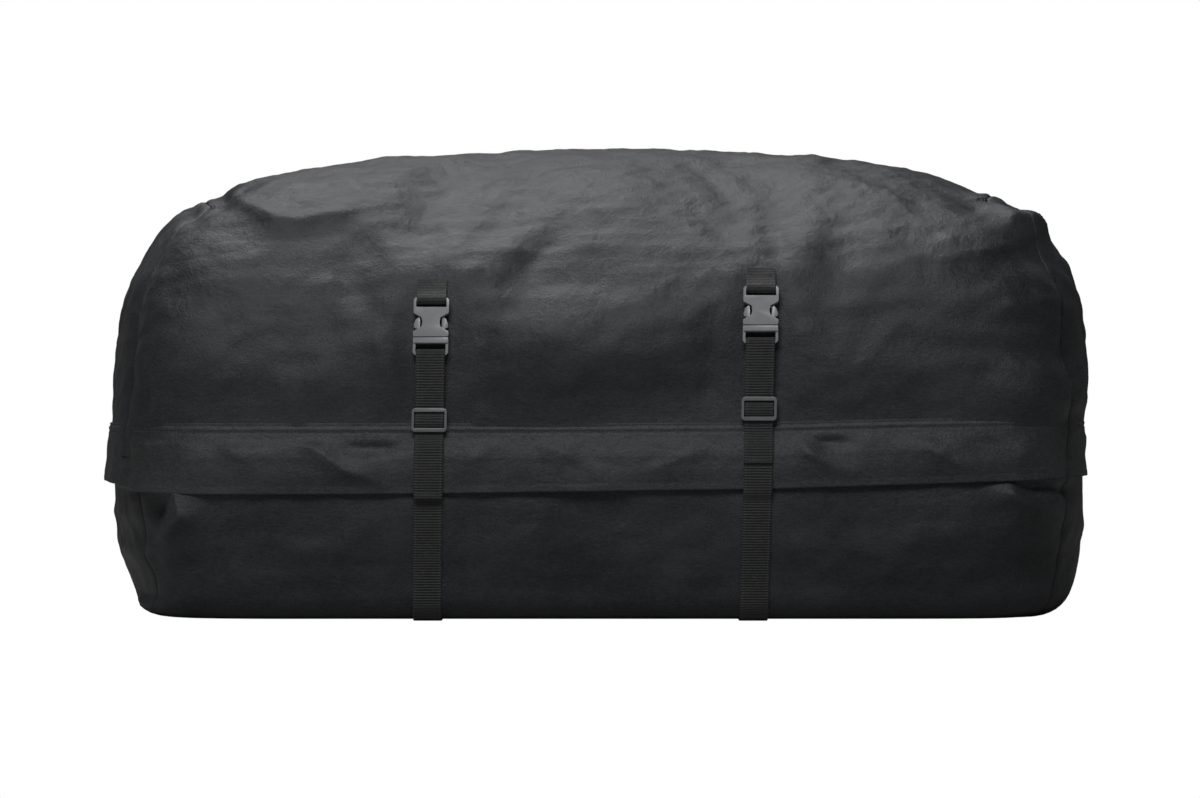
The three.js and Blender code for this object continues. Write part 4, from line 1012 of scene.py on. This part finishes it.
# One end of a strap, from its loose end up to the latch, round its bar and down to under the bag
def strap_half(rise, tail, x, front):
    slide_z = SLIDE_Z + rise
    flat, edge = MID_BAR / 2 + 0.4, SLIDE_L / 2 - END_BAR
    near = [slide_z + d for d in (-14, -10.5, -edge, -flat, 0, flat, edge, 10.5)]
    up = [tail, *range(math.ceil((tail + 2) / 6) * 6, math.ceil(slide_z - 16), 6), *near]
    points = [off_wall(z, main_layer(z, slide_z, x, front) + STRAP_T + GAP) for z in up]
    y, tangent, out = wall_profile(BUCKLE_Z + rise)
    foot = np.array([y, BUCKLE_Z + rise])
    middle = STANDOFF + support(BUCKLE_Z + rise, x, front, 12) + BUCKLE_T / 2
    bend = BAR * 0.71 + GAP + 0.15 + STRAP_T / 2
    for k in range(9):
        a = math.pi * k / 8
        points.append(foot + tangent * (-LATCH_DROP + bend * math.sin(a)) + out * (middle + bend * math.cos(a)))
    low = UNDER + BASE_R
    down = [*near[::-1], *range(math.floor((slide_z - 18) / 6) * 6, 60, -6), 48, 36, low + 2]
    points += [off_wall(z, main_layer(z, slide_z, x, front)) for z in down]
    start = off_wall(low, main_layer(low, slide_z, x, front))
    radius = low - STRAP_T / 2
    for k in range(1, 7):
        a = math.pi / 2 * k / 6
        points.append(np.array([start[0] + radius * (1 - math.cos(a)), low - radius * math.sin(a)]))
    return points


def resampled(line, step):
    line = np.array(line)
    run = np.concatenate([[0], np.cumsum(np.linalg.norm(np.diff(line, axis=0), axis=1))])
    s = np.linspace(0, run[-1], int(run[-1] / step) + 1)
    return np.stack([np.interp(s, run, line[:, k]) for k in range(2)], -1), s


# A flat band along a line, with rounded selvedges
def ribbon(name, line, x, step=1.6):
    path, s = resampled(line, step)
    for _ in range(2):
        path[1:-1] = path[1:-1] * 0.5 + (path[:-2] + path[2:]) * 0.25
    t = np.gradient(path, axis=0)
    t /= np.linalg.norm(t, axis=1, keepdims=True)
    n = np.stack([-t[:, 1], t[:, 0]], -1)
    half, thick = STRAP_W / 2, STRAP_T / 2
    upper = [(-half + 0.25, 0.75), (-half + 0.9, 1), (-half / 3, 1)]
    upper += [(-across, side) for across, side in upper[::-1]]
    profile = [(-half, 0), *upper, (half, 0), *((across, -side) for across, side in upper[::-1])]
    rings = []
    for across, side in profile:
        yz = path + n * (side * thick)
        rings.append(np.stack([x + across + LEAN * (yz[:, 1] - PIVOT), yz[:, 0], yz[:, 1]], -1))
    points = np.stack(rings, 1)
    rows, cols = points.shape[:2]
    u = np.array([a for a, _ in profile])[None, :].repeat(rows, 0)
    uv = np.stack([u, s[:, None].repeat(cols, 1)], -1).reshape(-1, 2)
    obj = mesh_object(name, points.reshape(-1, 3), tube_faces(rows, cols), uv)
    bm = bmesh.new()
    bm.from_mesh(obj.data)
    bmesh.ops.recalc_face_normals(bm, faces=bm.faces)
    bm.to_mesh(obj.data)
    bm.free()
    return obj


def strap(s):
    front = strap_half(s["front_rise"], s["front_tail"], s["x"], True)
    back = [np.array([-p[0], p[1]]) for p in strap_half(s["back_rise"], s["back_tail"], s["x"], False)]
    return ribbon("webbing_strap_" + s["side"], front + back[::-1], s["x"])


# Two rows of thread across each strap's loose end
def tail_rows():
    lines = []
    for s in STRAPS:
        for end, sign in (("front", 1), ("back", -1)):
            for z in (s[end + "_tail"] + 2.0, s[end + "_tail"] + 4.4):
                n = main_layer(z, SLIDE_Z + s[end + "_rise"], s["x"], sign > 0) + STRAP_T + GAP + STRAP_T / 2
                y, up = off_wall(z, n)
                out = wall_profile(z)[2]
                x = s["x"] + np.linspace(-STRAP_W / 2 + 1, STRAP_W / 2 - 1, 24) + LEAN * (up - PIVOT)
                row = np.stack([x, 0 * x + sign * y, 0 * x + up], -1)
                lines.append((row, np.array([[0, sign * out[0], out[1]]]).repeat(24, 0)))
    return lines


# A copy of a solid with its edges eased, as a moulding or a folded band has
def eased(name, source, width):
    obj = bpy.data.objects.new(name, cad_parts[source].data.copy())
    bpy.context.scene.collection.objects.link(obj)
    bm = bmesh.new()
    bm.from_mesh(obj.data)
    bmesh.ops.remove_doubles(bm, verts=bm.verts, dist=1e-6)
    bmesh.ops.dissolve_limit(bm, angle_limit=math.radians(3), verts=bm.verts, edges=bm.edges)
    bm.to_mesh(obj.data)
    bm.free()
    mod = obj.modifiers.new("ease", "BEVEL")
    mod.width = width * MM
    mod.segments = 2
    mod.limit_method = "ANGLE"
    mod.angle_limit = math.radians(35)
    mod.harden_normals = True
    obj.data.polygons.foreach_set("use_smooth", [True] * len(obj.data.polygons))
    return obj


# One shader for the camera's own rays and another for the light
def by_ray(tree, out, light, seen):
    path = tree.nodes.new("ShaderNodeLightPath")
    mix = tree.nodes.new("ShaderNodeMixShader")
    for source, socket in zip((path.outputs["Is Camera Ray"], light, seen), mix.inputs):
        tree.links.new(source, socket)
    tree.links.new(mix.outputs[0], out.inputs["Surface"])


def world_and_lights():
    world = bpy.data.worlds.new("studio")
    bpy.context.scene.world = world
    world.use_nodes = True
    tree = world.node_tree
    tree.nodes.clear()
    out = tree.nodes.new("ShaderNodeOutputWorld")
    light, seen = (node(tree, "ShaderNodeBackground", Color=(1, 1, 1, 1), Strength=s) for s in (WORLD, 1.0))
    by_ray(tree, out, light.outputs[0], seen.outputs[0])
    for name, where, target, size, power in LIGHTS:
        lamp = bpy.data.lights.new(name, "AREA")
        lamp.shape = "RECTANGLE"
        lamp.size, lamp.size_y = size
        lamp.energy = power
        obj = bpy.data.objects.new(name, lamp)
        obj.location = where
        obj.rotation_euler = (Vector(target) - Vector(where)).to_track_quat("-Z", "Y").to_euler()
        bpy.context.scene.collection.objects.link(obj)


# A pale floor, plain white to the camera as the photo's sweep is
def floor():
    bpy.ops.mesh.primitive_plane_add(size=14, location=(0, 0, -0.0006))
    obj = bpy.context.object
    obj.name = "studio_floor"
    mat, tree, bsdf, where, _ = new_material("studio_floor", Roughness=0.9, Specular_IOR_Level=0.1)
    coloured(tree, bsdf, noise(tree, where, 3, 2), (0.34, 0.34, 0.34), (0.38, 0.38, 0.38))
    white = node(tree, "ShaderNodeEmission", Color=(1, 1, 1, 1), Strength=1.0)
    out = next(n for n in tree.nodes if n.type == "OUTPUT_MATERIAL")
    by_ray(tree, out, bsdf.outputs[0], white.outputs[0])
    paint(obj, mat)


# A long lens from far in front, a little below the bag's middle, as the photo was taken
def camera():
    cam = bpy.data.cameras.new("camera")
    cam.sensor_width = 36
    cam.sensor_fit = "HORIZONTAL"
    cam.lens = 127.05
    cam.clip_end = 50
    obj = bpy.data.objects.new("camera", cam)
    obj.location = (0.003, -4.2, 0.197)
    obj.rotation_euler = (math.radians(90), 0, 0)
    bpy.context.scene.collection.objects.link(obj)
    bpy.context.scene.camera = obj


WORLD = 0.06
LIGHTS = [
    ("top_softbox", (-0.3, 0.42, 2.15), (0, 0, 0.3), (1.1, 0.7), 27),
    ("front_softbox", (-0.3, -2.0, 1.9), (-0.06, -0.4, 0.28), (1.1, 0.9), 28),
]
camera()
world_and_lights()
floor()
bpy.context.scene.view_settings.view_transform = "Standard"

coated = cloth_material("coated_cloth", (0.0126, 0.0140, 0.0166), (0.035, 0.0381, 0.0432))
# The flap's cloth is the coated cloth painted lighter: painted light for the top light falling on the flap
flap_cloth = cloth_material("flap_cloth", (0.0195, 0.0210, 0.0232), (0.049, 0.0522, 0.0565), 0.58, 0.6)
thread = webbing_material("thread", False, (0.05, 0.052, 0.055), (0.09, 0.093, 0.097))
webbing = webbing_material("webbing")
tab_webbing = webbing_material("tab_webbing", False)
plastic = plastic_material("moulded_plastic")
worn_plastic = plastic_material("worn_plastic", (0.13, 0.135, 0.142), (0.19, 0.197, 0.207))
metal = metal_material("zip_metal")
zip_tape = zip_material("zip_tape")

SKIN = blown_up()
cloths = [(lid_main(), "lid_main_panel"), (lid_side("left", -1), "lid_side_panel_left"),
          (lid_side("right", 1), "lid_side_panel_right")] + tub()
for obj, name in cloths:
    dress(obj, coated, name)
for obj, name in flaps():
    dress(obj, flap_cloth, name)
dress(stitches("flap_stitches", flap_rows()), thread)
dress(stitches("strap_tail_stitches", tail_rows(), 2.2, 1.9, 0.7), thread)
for s in STRAPS:
    dress(strap(s), webbing, "strap_" + s["side"])
    for end in ("front", "back"):
        key = "_" + end + "_" + s["side"]
        for kind, width, mat, slot in (
            ("buckle_tab", 0.35, tab_webbing, "webbing"), ("buckle_socket", 0.8, plastic, "moulded_plastic"),
            ("buckle_latch", 0.7, plastic, "moulded_plastic"),
            ("strap_slide", 0.6, worn_plastic, "moulded_plastic"),
        ):
            dress(eased(kind + "_eased" + key, kind + key, width), mat, kind + key)

for name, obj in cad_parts.items():
    if name.startswith("zipper_stringer"):
        paint(obj, zip_tape)
    elif name.startswith("zipper"):
        paint(obj, metal)
    elif name == "tub_base_panel":
        paint(obj, coated)
